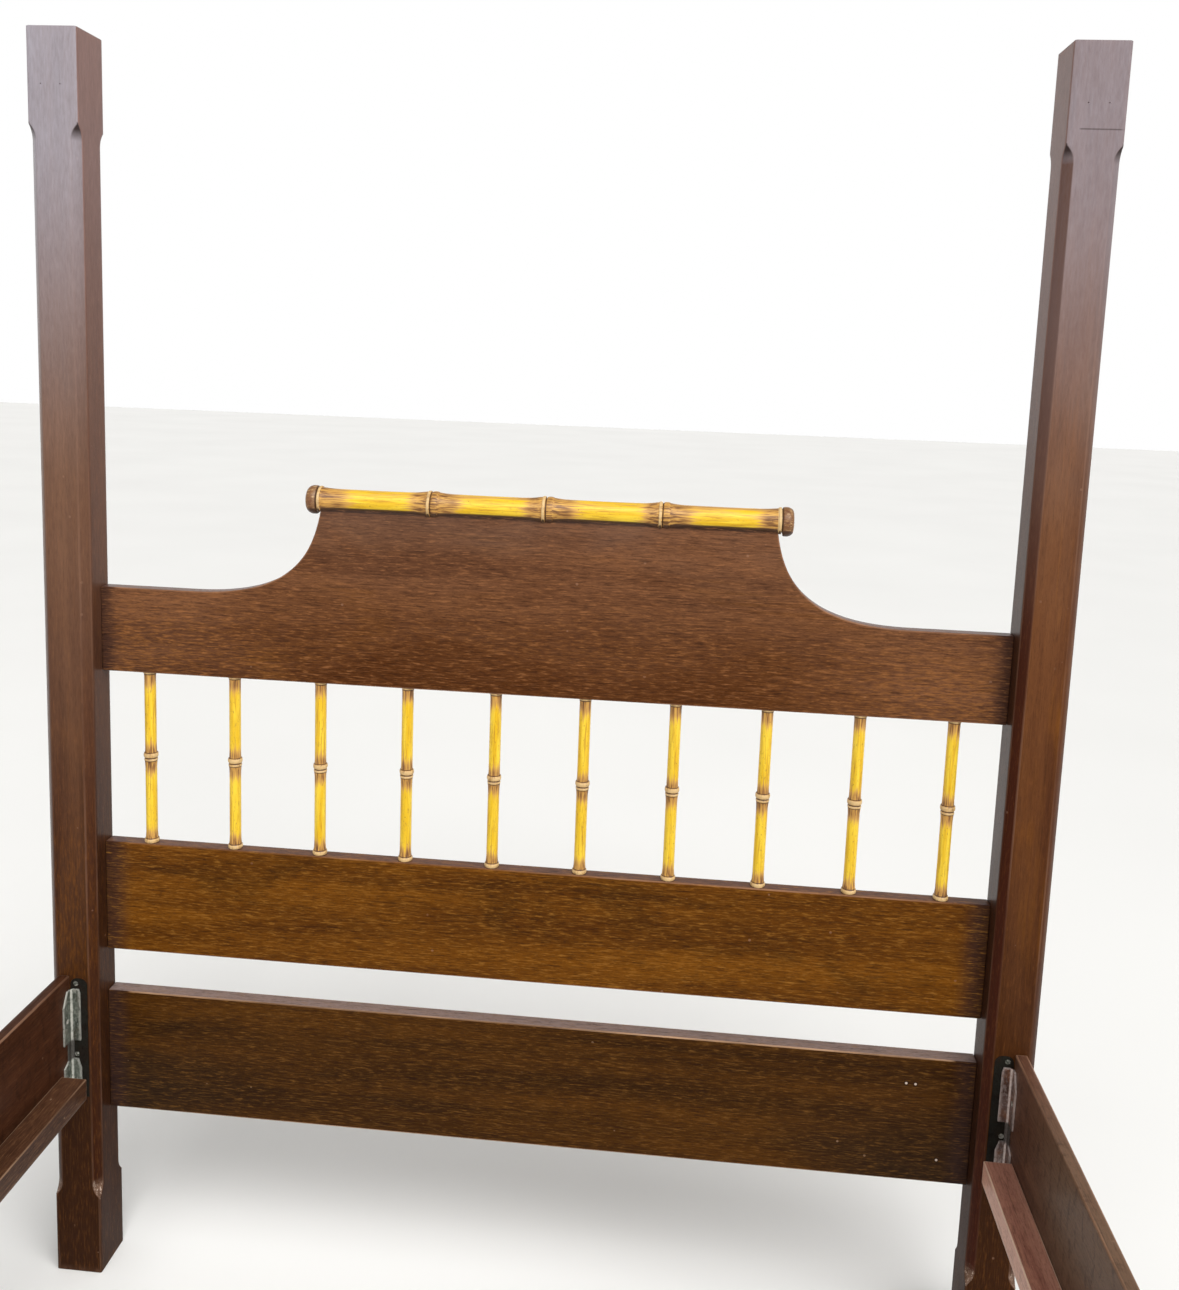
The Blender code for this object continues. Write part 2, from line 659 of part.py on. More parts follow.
def hook_outline(low):
    """A hook, as (distance from the post's face towards the rail's middle, height)."""
    back = PLATE_THICKNESS + 2 * GAP
    return [
        (GAP + BRACKET_THICKNESS / 2, low),
        (GAP + BRACKET_THICKNESS / 2, low + HOOK_NECK),
        (-back - BRACKET_THICKNESS, low + HOOK_NECK),
        (-back - BRACKET_THICKNESS, low - HOOK_DROP),
        (-back, low - HOOK_DROP),
        (-back, low),
    ]


def along_rail(side, end, across, from_post):
    """Turns an outline of (distance from the post, height) to lie along the rail."""
    basis = Matrix(((0, 0, side), (-end, 0, 0), (0, 1, 0))).to_4x4()
    return Matrix.Translation((side * across, end * (CLEAR_LENGTH / 2 - from_post), 0)) @ basis


def add_bracket(side_name, end_name, screw, group):
    side = SIDES[side_name]
    end = ENDS[end_name]
    name = f"rail_bracket_{end_name}_{side_name}"
    upper, lower, leg = bracket_outlines()
    leg_across = RAIL_INNER - GAP - BRACKET_THICKNESS / 2
    leg_mesh = outline_mesh(name, leg, BRACKET_THICKNESS, along_rail(side, end, leg_across, GAP))
    bracket = add_piece(name, leg_mesh, STEEL, group)
    near_face = CLEAR_LENGTH / 2 - GAP - BRACKET_THICKNESS
    for label, outline in (("upper", upper), ("lower", lower)):
        turn = facing_plate(side, end, near_face, BRACKET_THICKNESS)
        mesh = outline_mesh(f"{name}_{label}_lug", outline, BRACKET_THICKNESS, turn)
        combine(bracket, add_cutter(mesh.name, mesh), "UNION")
    for number, low in enumerate(HOOK_Z):
        turn = along_rail(side, end, RAIL_INNER - HOOK_ACROSS, 0)
        mesh = outline_mesh(f"{name}_hook_{number}", hook_outline(low), HOOK_THICKNESS, turn)
        combine(bracket, add_cutter(mesh.name, mesh), "UNION")
    for number, height in enumerate(BRACKET_SCREW_Z, 1):
        hole = turned_mesh(f"{name}_hole_{number}", countersink_profile(), SCREW_SIDES)
        where = bracket_screw_place(side, end, height, SCREW_SINK)
        combine(bracket, add_cutter(hole.name, hole, where, bracket_screw_rotation(side)))
        screw_name = f"bracket_screw_{end_name}_{side_name}_{number}"
        add_piece(screw_name, screw, STEEL, group, where, bracket_screw_rotation(side))


# ---------------------------------------------------------------- assembly


headboard = make_group("headboard", (0, POST_MIDDLE_ALONG, 0))
footboard = make_group("footboard", (0, -POST_MIDDLE_ALONG, 0))
end_groups = {"head": headboard, "foot": footboard}
rail_groups = {
    name: make_group(f"{name}_rail_lift", (side * RAIL_INNER, 0, RAIL_Z)) for name, side in SIDES.items()
}
slat_group = make_group("slats", (0, 0, SLAT_Z))

for end_name, end_group in end_groups.items():
    end = ENDS[end_name]
    for side_name in SIDES:
        add_post(side_name, end_name, end_group)
    add_cross_board(
        f"{end_name}_bottom_rail", end, BOTTOM_BOARD_Z, BOTTOM_BOARD_HEIGHT, BOTTOM_BOARD_THICKNESS, end_group
    )
middle_rail = add_cross_board(
    "head_middle_rail", 1, MIDDLE_BOARD_Z, MIDDLE_BOARD_HEIGHT, BOARD_THICKNESS, headboard
)
add_cross_board("foot_middle_rail", -1, MIDDLE_BOARD_Z, MIDDLE_BOARD_HEIGHT, BOARD_THICKNESS, footboard)
crest = add_crest_panel(headboard)
cut_dowel_holes(middle_rail, MIDDLE_BOARD_Z + MIDDLE_BOARD_HEIGHT, -1)
cut_dowel_holes(crest, CREST_Z, 1)
add_roll(headboard)
add_spindles(headboard)

plate_screw = screw_mesh("plate_screw", PLATE_SCREW_LENGTH)
bracket_screw = screw_mesh("bracket_screw", BRACKET_SCREW_LENGTH)
for side_name in SIDES:
    add_side_rail(side_name, rail_groups[side_name])
    for end_name in ENDS:
        add_post_plate(side_name, end_name, plate_screw, end_groups[end_name])
        add_bracket(side_name, end_name, bracket_screw, rail_groups[side_name])
add_slats(slat_group)
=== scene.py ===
import json
import math
import random

import bmesh
import bpy
from mathutils import Matrix, Vector
from mathutils.geometry import interpolate_bezier


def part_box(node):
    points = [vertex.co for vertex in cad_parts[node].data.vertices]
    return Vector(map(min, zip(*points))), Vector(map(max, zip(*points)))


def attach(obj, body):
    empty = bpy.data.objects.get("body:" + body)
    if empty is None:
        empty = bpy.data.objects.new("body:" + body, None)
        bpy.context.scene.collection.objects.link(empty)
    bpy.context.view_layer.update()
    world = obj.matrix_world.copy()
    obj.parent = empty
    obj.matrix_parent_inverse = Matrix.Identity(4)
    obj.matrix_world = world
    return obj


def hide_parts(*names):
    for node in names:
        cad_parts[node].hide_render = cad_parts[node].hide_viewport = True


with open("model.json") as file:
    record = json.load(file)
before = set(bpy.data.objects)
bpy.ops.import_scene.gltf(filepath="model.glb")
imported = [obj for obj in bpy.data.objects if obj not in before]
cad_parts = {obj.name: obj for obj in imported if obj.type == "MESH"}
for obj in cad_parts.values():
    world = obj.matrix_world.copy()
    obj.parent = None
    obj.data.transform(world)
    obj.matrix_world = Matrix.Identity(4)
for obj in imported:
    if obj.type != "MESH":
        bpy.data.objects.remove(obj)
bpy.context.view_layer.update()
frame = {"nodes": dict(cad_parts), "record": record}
scene = bpy.context.scene
bodyOf = {node: body for body, nodes in frame["record"]["behaviour"]["bodies"].items() for node in nodes}
sides = {"left": -1, "right": 1}
ends = {"head": 1, "foot": -1}
print("frame loaded,", len(bodyOf), "nodes")

# The faces that everything is measured from
bed = dict(
    postFace=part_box("head_post_right")[0].y,
    postInner=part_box("head_post_right")[0].x,
    railInner=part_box("side_rail_right")[0].x,
    gap=0.0003,
)


# Meshes


def middleOf(node):
    low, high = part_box(node)
    return (low + high) / 2


def clamp(value, low=0.0, high=1.0):
    return max(low, min(high, value))


def makeObject(name, shape):
    thing = bpy.data.objects.new(name, bpy.data.meshes.new(name))
    shape.to_mesh(thing.data)
    shape.free()
    scene.collection.objects.link(thing)
    return thing


def makePiece(name, shape, nodes, material, body=None, sharp=32):
    piece = makeObject(name, shape)
    piece.data.materials.append(material)
    shadeSoft(piece, sharp)
    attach(piece, body or bodyOf[nodes[0]])
    if nodes:
        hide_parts(*nodes)
    return piece


def shadeSoft(piece, sharp=32):
    piece.data.shade_smooth()
    piece.data.set_sharp_from_angle(angle=math.radians(sharp))


def carve(piece, cutter, operation="DIFFERENCE", sharp=32):
    bmesh.ops.recalc_face_normals(cutter, faces=cutter.faces)
    tool = makeObject("cutter", cutter)
    change = piece.modifiers.new("carve", "BOOLEAN")
    change.operation = operation
    change.solver = "EXACT"
    change.use_self = True
    change.object = tool
    carved = bpy.data.meshes.new_from_object(piece.evaluated_get(bpy.context.evaluated_depsgraph_get()))
    piece.modifiers.clear()
    piece.data = carved
    bpy.data.objects.remove(tool, do_unlink=True)
    shadeSoft(piece, sharp)
    return piece


def drawFace(shape, points, along):
    # a flat outline drawn out into a solid
    face = shape.faces.new([shape.verts.new(point) for point in points])
    drawn = bmesh.ops.extrude_face_region(shape, geom=[face])["geom"]
    moved = [v for v in drawn if isinstance(v, bmesh.types.BMVert)]
    bmesh.ops.translate(shape, vec=along, verts=moved)
    bmesh.ops.recalc_face_normals(shape, faces=shape.faces)


def addBlock(shape, low, high):
    low, high = Vector(low), Vector(high)
    size = Vector([abs(b - a) for a, b in zip(low, high)])
    return bmesh.ops.create_cube(shape, size=1.0, matrix=Matrix.LocRotScale((low + high) / 2, None, size))


def addRod(shape, start, end, radius, segments=16, endRadius=None):
    start, end = Vector(start), Vector(end)
    turn = (end - start).to_track_quat("Z", "Y")
    return bmesh.ops.create_cone(
        shape, cap_ends=True, segments=segments, radius1=radius, depth=(end - start).length,
        radius2=radius if endRadius is None else endRadius,
        matrix=Matrix.LocRotScale((start + end) / 2, turn, None),
    )


def easeArrises(shape, arris, halo):
    # rounds every sharp edge, then rings each flat with a narrow band, so that wear can fade in from the edge
    worn = shape.verts.layers.float.new("edge")
    sharpEdges = [e for e in shape.edges if e.calc_face_angle(0) > 0.5]
    rounded = bmesh.ops.bevel(
        shape, geom=sharpEdges, offset=arris, segments=3, profile=0.5, affect="EDGES", material=-1
    )
    rounded = set(rounded["faces"])
    flats = [f for f in shape.faces if f not in rounded]
    if halo:
        bmesh.ops.inset_individual(shape, faces=flats, thickness=halo, use_even_offset=True)
    for v in shape.verts:
        v[worn] = 1.0
    for f in flats:
        for v in f.verts:
            v[worn] = 0.0
    return flats


def drawTenon(shape, face, width, height, length):
    # a tenon drawn out of an end face: width is across the board's thickness, height is up
    bmesh.ops.inset_individual(shape, faces=[face], thickness=0.001)
    centre = face.calc_center_median()
    spans = [[v.co[axis] for v in face.verts] for axis in range(3)]
    size = [max(s) - min(s) for s in spans]
    normal = face.normal.copy()
    for v in face.verts:
        v.co.y = centre.y + (v.co.y - centre.y) * width / size[1]
        v.co.z = centre.z + (v.co.z - centre.z) * height / size[2]
    drawn = bmesh.ops.extrude_discrete_faces(shape, faces=[face])["faces"][0]
    bmesh.ops.translate(shape, vec=normal * length, verts=drawn.verts)


def turnProfile(profile, steps, axis="Z", centre=(0, 0, 0)):
    # a profile of (radius, height) points spun round an axis
    shape = bmesh.new()
    points = [shape.verts.new((radius, 0, height)) for radius, height in profile]
    for a, b in zip(points, points[1:]):
        shape.edges.new((a, b))
    bmesh.ops.spin(
        shape, geom=shape.verts[:] + shape.edges[:], cent=(0, 0, 0), axis=(0, 0, 1),
        angle=2 * math.pi, steps=steps, use_merge=True,
    )
    bmesh.ops.remove_doubles(shape, verts=shape.verts, dist=1e-6)
    bmesh.ops.recalc_face_normals(shape, faces=shape.faces)
    if axis == "X":
        quarterTurn = Matrix.Rotation(math.pi / 2, 3, "Y")
        bmesh.ops.rotate(shape, verts=shape.verts, cent=(0, 0, 0), matrix=quarterTurn)
    bmesh.ops.translate(shape, vec=centre, verts=shape.verts)
    return shape


# Materials


class Signal:
    def __init__(self, shader, socket):
        self.shader, self.socket = shader, socket

    def math(self, operation, *others):
        values = dict(enumerate((self,) + others))
        return self.shader.add("Math", {"operation": operation}, values)

    def __add__(self, other):
        return self.math("ADD", other)

    def __sub__(self, other):
        return self.math("SUBTRACT", other)

    def __rsub__(self, other):
        return self.shader.add("Math", {"operation": "SUBTRACT"}, {0: other, 1: self})

    def __mul__(self, other):
        return self.math("MULTIPLY", other)

    def __truediv__(self, other):
        return self.math("DIVIDE", other)

    def __abs__(self):
        return self.math("ABSOLUTE")

    __radd__ = __add__
    __rmul__ = __mul__

    def largest(self, other):
        return self.math("MAXIMUM", other)

    def smallest(self, other):
        return self.math("MINIMUM", other)

    def between(self, low, high):
        # 0 below low, 1 above high, smooth between; low may be the larger
        return self.shader.add(
            "MapRange", {"interpolation_type": "SMOOTHSTEP"}, {0: self, 1: low, 2: high, 3: 0.0, 4: 1.0}
        )


def paint(red, green, blue):
    # a paint chip's 0-255 values as the linear colour that shaders take
    chip = [value / 255 for value in (red, green, blue)]
    return tuple(c / 12.92 if c <= 0.04045 else ((c + 0.055) / 1.055) ** 2.4 for c in chip) + (1.0,)


class Shader:
    def __init__(self, name, look):
        self.material = bpy.data.materials.new(name)
        self.material.use_nodes = True
        self.tree = self.material.node_tree
        self.surface = self.tree.nodes["Principled BSDF"]
        chips = {key: value for key, value in look.items() if isinstance(value, tuple) and len(value) == 3}
        self.tone = {key: paint(*chip) for key, chip in chips.items()}
        self.color = None

    def add(self, kind, settings=None, inputs=None, output=0):
        node = self.tree.nodes.new("ShaderNode" + kind)
        for key, value in (settings or {}).items():
            setattr(node, key, value)
        for key, value in (inputs or {}).items():
            self.feed(node.inputs[key], value)
        return Signal(self, node.outputs[output])

    def feed(self, socket, value):
        if isinstance(value, Signal):
            self.tree.links.new(value.socket, socket)
        else:
            socket.default_value = value

    def finish(self, **values):
        for key, value in {"Base_Color": self.color, **values}.items():
            self.feed(self.surface.inputs[key.replace("_", " ")], value)
        return self.material

    def place(self):
        return self.add("TexCoord", output=3)

    def axes(self, vector):
        first = self.add("SeparateXYZ", inputs={0: vector})
        return [Signal(self, first.socket.node.outputs[number]) for number in range(3)]

    def attribute(self, name):
        return self.add("Attribute", {"attribute_name": name}, output=2)

    def stretch(self, vector, size, shift=(0, 0, 0)):
        return self.add(
            "Mapping", inputs={"Vector": vector, "Location": shift, "Scale": tuple(1 / s for s in size)}
        )

    def noise(self, vector, size, detail=2.0, rough=0.5, warp=0.0, shift=(0, 0, 0)):
        placed = self.stretch(vector, size, shift)
        return self.add(
            "TexNoise", inputs={
                "Vector": placed, "Scale": 1.0, "Detail": detail, "Roughness": rough, "Distortion": warp
            }
        )

    def grain(self, vector, length, width, *settings):
        return self.noise(vector, (length, width, width), *settings)

    def specks(self, vector, size, low, high, shift=(0, 0, 0)):
        # small separate marks: 1 inside them, 0 round them
        placed = self.stretch(vector, size, shift)
        far = self.add("TexVoronoi", inputs={"Vector": placed, "Scale": 1.0, "Randomness": 1.0})
        return far.between(high, low)

    def mix(self, first, second, amount):
        return self.add("Mix", {"data_type": "RGBA"}, {0: amount, 6: first, 7: second}, output=2)

    def lay(self, shade, amount=None):
        # one more coat over the colour so far: a tone's name, or a colour of its own
        shade = self.tone[shade] if isinstance(shade, str) else shade
        self.color = shade if amount is None else self.mix(self.color, shade, amount)

    def bump(self, height, strength, distance):
        return self.add("Bump", inputs={"Height": height, "Strength": strength, "Distance": distance})


grainTurn = {"X": (0, 0, 0), "Y": (0, 0, -math.pi / 2), "Z": (0, math.pi / 2, 0)}
# length and width of each kind of figure in the wood, then its detail, roughness, warp and shift
grainSizes = dict(
    figure=(0.9, 0.055, 4.0, 0.55, 0.5),
    streak=(0.32, 0.0075, 3.0, 0.6, 0.2, (3, 1, 2)),
    dash=(0.019, 0.0031, 2.0, 0.7, 0.0, (2, 2, 5)),
    fine=(0.045, 0.0022, 3.0, 0.65),
    hair=(0.022, 0.0009, 2.0, 0.6, 0.0, (1, 6, 2)),
)
mahoganyLook = dict(
    dark=(66, 36, 22), light=(104, 64, 42), gold=(126, 78, 36), pore=(30, 15, 9), stain=(40, 22, 12),
    worn=(168, 128, 102), haze=(150, 138, 137), grime=(52, 36, 32), bare=(132, 106, 90),
    hollow=(40, 28, 24), chip=(204, 186, 170),
    dashTone=(140, 98, 66), dust=(112, 92, 74), dustPlaces=None, darkChamfer=0.0, stops=False, blotches=0.0,
    scribe=None, seam=None, lowMiddle=None, sideAmount=0.35, shade=(92, 66, 56), hazeLow=None, topDust=None,
    goldAmount=0.45, stainAmount=0.25, wornAmount=0.3, streakAmount=0.3, scuffs=0.3, grainAmount=0.55,
    nailSpots=[], sideHaze=(172, 118, 98), hazeHeights=None, hazeAmount=0.0, lowTone=None,
    lowHeights=(1.25, 0.15), sideTone=None, chamferTone=None,
    goldHeights=None, endGrime=None, roughness=0.46, gloss=0.05, grazing=0.35, sheenHeights=None,
)


def mahoganyMaterial(name, grain, **changes):
    look = {**mahoganyLook, **changes}
    shader = Shader(name, look)
    tone = shader.tone
    place = shader.place()
    across, away, up = shader.axes(place)
    along = shader.add("Mapping", inputs={"Vector": place, "Rotation": grainTurn[grain]})
    figure, streak, dash, fine, hair = [shader.grain(along, *size) for size in grainSizes.values()]
    patch = shader.noise(along, (0.38, 0.16, 0.16), 3.0, 0.6, 0.8, (7, 5, 1))
    stainPatch = shader.noise(along, (0.30, 0.10, 0.10), 4.0, 0.65, 0.6, (2, 9, 4))
    pores = shader.specks(along, (0.009, 0.0016, 0.0016), 0.10, 0.32)
    longPores = shader.specks(along, (0.022, 0.0028, 0.0028), 0.06, 0.20, (5, 3, 8))
    facing = shader.axes(shader.add("TexCoord", output=1))

    shader.lay("dark")
    shader.lay("light", figure.between(0.26, 0.76))
    golden = patch.between(0.5, 0.75) * streak.between(0.3, 0.7)
    if look["goldHeights"]:
        golden = golden + (up + (patch - 0.5) * 0.12).between(*look["goldHeights"]) * dash.between(0.4, 0.7)
    shader.lay("gold", golden * look["goldAmount"])
    shader.lay("stain", stainPatch.between(0.52, 0.72) * look["stainAmount"])
    shader.lay("stain", streak.between(0.55, 0.75) * look["streakAmount"])
    shader.lay("gold", streak.between(0.42, 0.28) * look["streakAmount"] * 0.4)
    if look["lowTone"]:
        low = (up + (stainPatch - 0.5) * 0.3).between(*look["lowHeights"])
        if look["lowMiddle"]:
            low = low * (abs(across) + (patch - 0.5) * 0.3).between(*look["lowMiddle"])
        shader.lay("lowTone", low * 0.92)
    # painted light and shade on faces turned to ±X: the posts' sides are darkened, the right ledger's sides
    # lightened like a reflection
    if look["sideTone"]:
        inward = abs(facing[0]).between(0.8, 0.95)
        shader.lay("sideTone", inward * (look["sideAmount"] + streak * 0.3))
    # chamfers get a darker stain; where asked, the ones turned towards -X also get painted shade, as they
    # face away from the light
    if look["chamferTone"]:
        inner = shader.attribute("chamfer") * facing[0].between(0.2, -0.4) * look["darkChamfer"]
        chamfer = shader.attribute("chamfer") * (0.1 + fine * 0.3) + inner * (0.5 + dash * 0.4)
        shader.lay("chamferTone", chamfer)
    # the face turns paler and greyer away from the head post
    if look["dustPlaces"]:
        settled = (abs(away) + (stainPatch - 0.5) * 0.15).between(*look["dustPlaces"])
        shader.lay("dust", settled * (0.35 + patch * 0.4))
    if look["blotches"]:
        blotch = shader.noise(place, (0.030, 0.016, 0.045), 4.0, 0.7, 0.0, (9, 3, 1))
        inside = (across * facing[0]).between(0.1, -0.1)
        shader.lay("stain", blotch.between(0.50, 0.66) * inside * look["blotches"])
    # painted shadow on the crest panel just under the roll
    if look["seam"]:
        under = up.between(look["seam"] - 0.019, look["seam"] - 0.0162) * abs(across).between(0.372, 0.366)
        shader.lay("pore", under * 0.9)
    if look["scribe"]:
        height, start, stop = look["scribe"]
        line = abs(up - height).between(0.0016, 0.0004) * across.between(start, start + 0.004)
        line = line * across.between(stop, stop - 0.010) * facing[1].between(-0.8, -0.95)
    # darker towards the board's ends: painted shade in the corner where it meets a post, with some grime
    if look["endGrime"]:
        grime = (abs(across) + (stainPatch - 0.5) * 0.03).between(*look["endGrime"])
        shader.lay("grime", grime * 0.75)
    # painted sheen: faces turned upward are paler and greyer, like a reflection of the sky
    if look["topDust"]:
        shader.lay("topDust", facing[2].between(0.8, 0.95) * (0.35 + figure * 0.5))
    shader.lay("pore", dash.between(0.50, 0.28) * look["grainAmount"] * 0.55)
    shader.lay("dashTone", dash.between(0.53, 0.75) * look["grainAmount"] * 0.7)
    shader.lay("pore", (pores * 0.6 + longPores * 0.4) * look["grainAmount"])
    shader.lay("pore", fine.between(0.47, 0.30) * look["grainAmount"] * 0.75)
    shader.lay("dashTone", fine.between(0.54, 0.74) * look["grainAmount"] * 0.5)
    shader.lay("dashTone", hair.between(0.56, 0.76) * look["grainAmount"] * 0.7)
    rub = shader.noise(along, (0.30, 0.020, 0.020), 3.0, 0.6, 0.0, (1, 2, 3))
    worn = shader.attribute("edge").between(0.82, 1.0) * (0.25 + rub.between(0.42, 0.66) * 0.75)
    if look["endGrime"]:
        worn = worn * (1 - grime.between(0.0, 0.4))
    nicks = shader.specks(place, (0.035, 0.035, 0.035), 0.05, 0.075, (4, 4, 4)) * rub.between(0.5, 0.6)
    shader.lay("worn", worn * look["wornAmount"])
    shader.lay("worn", nicks * look["scuffs"])
    # painted sheen over a partly faded finish: paler and greyer higher up and on faces turned to the front,
    # less on side faces
    if look["hazeHeights"]:
        haze = (up + (patch - 0.5) * 0.3).between(*look["hazeHeights"]) * (0.8 - facing[1] * 0.2)
        clouds = 0.86 + (stainPatch - 0.5) * 0.35 + (dash - 0.5) * 0.5
        kept = 1 - abs(facing[0]).between(0.8, 0.95) * 0.3
        hazeTone = tone["haze"]
        if look["hazeLow"]:
            hazeTone = shader.mix(tone["hazeLow"], tone["haze"], up.between(1.35, 1.95))
            hazeTone = shader.mix(hazeTone, tone["sideHaze"], abs(facing[0]).between(0.8, 0.95) * 0.5)
        shader.lay(hazeTone, haze * look["hazeAmount"] * clouds * kept)
        if look["darkChamfer"]:
            # painted shade on those inner chamfers, within the painted sheen
            shader.lay("shade", inner * haze * (0.7 + dash * 0.6))
    if look["stops"]:
        rubbed = shader.noise(place, (0.006, 0.006, 0.006), 3.0, 0.7)
        footStop = shader.attribute("footStop")
        # the foot stops' upturned scoops are paler: worn wood plus a painted highlight where they face the
        # sky
        shader.lay("bare", footStop * (0.3 + rubbed.between(0.35, 0.6) * 0.4))
        shader.lay("chip", footStop * fine.between(0.52, 0.62) * rubbed.between(0.5, 0.6))
        # painted shade in the top stops' scoops, which face downward
        shader.lay("hollow", shader.attribute("topStop") * 0.9)
    if look["scribe"]:
        shader.lay("hollow", line * 0.55)
    for spotAcross, spotUp in look["nailSpots"]:
        off = (across - spotAcross) * (across - spotAcross) + (up - spotUp) * (up - spotUp)
        distance = off.math("SQRT")
        front = facing[1].between(-0.8, -0.95)
        shader.lay("pore", distance.between(0.0055, 0.0025) * front * 0.6)
        shader.lay("chip", distance.between(0.0026, 0.0014) * front * 0.9)

    rough = look["roughness"] + (patch - 0.5) * 0.25 + pores * 0.18 + worn * 0.12 - fine * 0.06
    height = fine * 0.25 + dash * 0.15 - pores * 0.9 - longPores * 0.8 + streak * 0.3 - nicks * 1.2
    grazing = shader.add("LayerWeight", inputs={"Blend": 0.5}, output=1).between(0.40, 0.85) * look["grazing"]
    if look["sheenHeights"]:
        grazing = grazing * up.between(*look["sheenHeights"])
    return shader.finish(
        Roughness=rough, Specular_IOR_Level=look["gloss"],
        Coat_Weight=grazing, Coat_Roughness=0.22, Normal=shader.bump(height, 0.35, 0.0004),
    )


postLook = dict(
    lowTone=(42, 19, 3), sideTone=(48, 28, 20), chamferTone=(58, 24, 13), hazeLow=(132, 103, 86),
    worn=(146, 112, 92), dashTone=(116, 72, 36), roughness=0.42, grainAmount=0.32, sheenHeights=(0.25, 0.9),
    wornAmount=0.2, stops=True,
)
railLook = dict(goldAmount=0.25, grainAmount=0.4, grazing=0.2, wornAmount=0.5, blotches=0.45)
ledgerLook = dict(
    goldAmount=0.3, scuffs=0.8, stainAmount=0.2, streakAmount=0.15, grainAmount=0.5, wornAmount=0.8,
    blotches=0.25,
)
boardLook = dict(grime=(50, 34, 32), streakAmount=0.2)
woods = dict(
    postLeft=mahoganyMaterial(
        "postMahoganyLeft", "Z", hazeHeights=(0.68, 2.2), hazeAmount=0.97, grazing=0.5,
        goldHeights=(0.9, 0.6), gold=(134, 80, 16), dark=(66, 38, 25), light=(93, 61, 41),
        haze=(148, 143, 150), **postLook,
    ),
    postRight=mahoganyMaterial(
        "postMahoganyRight", "Z", hazeHeights=(1.1, 2.0), hazeAmount=0.78, grazing=0.3, darkChamfer=1.0,
        goldHeights=(0.30, 0.14), gold=(148, 90, 24), scribe=[1.971, 0.752, 0.818], sideAmount=0.7,
        shade=(92, 68, 60), dark=(70, 37, 20), light=(100, 61, 34), haze=(142, 135, 141), **postLook,
    ),
    crest=mahoganyMaterial(
        "crestMahogany", "X", dark=(82, 51, 33), light=(112, 74, 49), gold=(134, 84, 30), goldAmount=0.5,
        goldHeights=(1.26, 1.12), endGrime=(0.700, 0.732), stainAmount=0.15, lowTone=(72, 38, 12),
        lowHeights=(1.34, 1.06), lowMiddle=(0.62, 0.36), grainAmount=0.68, dashTone=(150, 100, 62),
        haze=(100, 82, 74), hazeHeights=(1.27, 1.45), hazeAmount=0.45, seam=middleOf("crest_roll").z,
        wornAmount=0.45, topDust=(98, 74, 70), **boardLook,
    ),
    middle=mahoganyMaterial(
        "middleMahogany", "X", dark=(74, 39, 7), light=(110, 65, 13), gold=(132, 82, 18), goldAmount=0.6,
        stain=(38, 21, 6), dashTone=(152, 104, 42), endGrime=(0.685, 0.722), stainAmount=0.5,
        grainAmount=0.75, wornAmount=0.45, topDust=(98, 74, 70), **boardLook,
    ),
    bottom=mahoganyMaterial(
        "bottomMahogany", "X", dark=(44, 24, 5), light=(76, 44, 9), gold=(98, 60, 14), goldAmount=0.55,
        stain=(28, 17, 7), dashTone=(118, 80, 36), endGrime=(0.690, 0.725), stainAmount=0.5,
        grainAmount=0.75, worn=(190, 152, 120), nailSpots=[(0.626, 0.4627), (0.641, 0.4623), (0.684, 0.331)],
        lowTone=(40, 26, 13), lowHeights=(0.48, 0.30), lowMiddle=(0.35, 0.68),
        wornAmount=0.75, topDust=(150, 130, 124), **boardLook,
    ),
    railLeft=mahoganyMaterial(
        "railMahoganyLeft", "Y", dark=(46, 24, 13), light=(76, 44, 28), gold=(96, 58, 30), stain=(26, 14, 8),
        dashTone=(110, 72, 50), **railLook,
    ),
    railRight=mahoganyMaterial(
        "railMahoganyRight", "Y", dark=(62, 38, 30), light=(98, 66, 50), gold=(112, 78, 50),
        stain=(34, 20, 16), dashTone=(124, 88, 66), dustPlaces=(0.97, 0.74), **railLook,
    ),
    ledgerLeft=mahoganyMaterial(
        "ledgerMahoganyLeft", "Y", dark=(48, 29, 19), light=(82, 54, 38), worn=(164, 132, 106), **ledgerLook,
    ),
    # the right ledger is painted far paler than the left: the same wood, lit by painted light and sheen
    ledgerRight=mahoganyMaterial(
        "ledgerMahoganyRight", "Y", dark=(144, 95, 80), light=(194, 143, 122), gold=(192, 132, 84),
        worn=(224, 196, 172), stain=(80, 48, 36), dashTone=(190, 140, 112), sideTone=(226, 180, 158),
        **ledgerLook,
    ),
)
print("wood finishes ready")


slatLook = dict(
    dark=(150, 112, 70), light=(196, 160, 112), ring=(118, 82, 48), knot=(82, 50, 28), dust=(150, 138, 120),
)


def slatMaterial(name):
    shader = Shader(name, slatLook)
    place = shader.place()
    figure = shader.grain(place, 0.9, 0.03, 3.0, 0.5, 0.4)
    rings = shader.noise(place, (0.6, 0.006, 0.02), 2.0, 0.5, 0.6, (1, 0, 4))
    fine = shader.grain(place, 0.05, 0.0012, 2.0, 0.6)
    knots = shader.specks(place, (0.30, 0.11, 0.11), 0.045, 0.11, (0.4, 0.7, 0.2))
    dust = shader.noise(place, (0.12, 0.05, 0.05), 4.0, 0.65)
    shader.lay("dark")
    shader.lay("light", figure.between(0.3, 0.7))
    shader.lay("ring", rings.between(0.52, 0.66) * 0.55)
    shader.lay("dark", fine.between(0.55, 0.75) * 0.5)
    shader.lay("knot", knots * 0.9)
    shader.lay("dust", dust.between(0.55, 0.8) * 0.4)
    shader.lay("light", shader.attribute("edge") * 0.5)
    height = fine * 0.7 + rings * 0.3 - knots * 0.4
    return shader.finish(
        Roughness=0.72 - fine * 0.12, Specular_IOR_Level=0.25,
        Normal=shader.bump(height, 0.5, 0.0004),
    )


# Posts

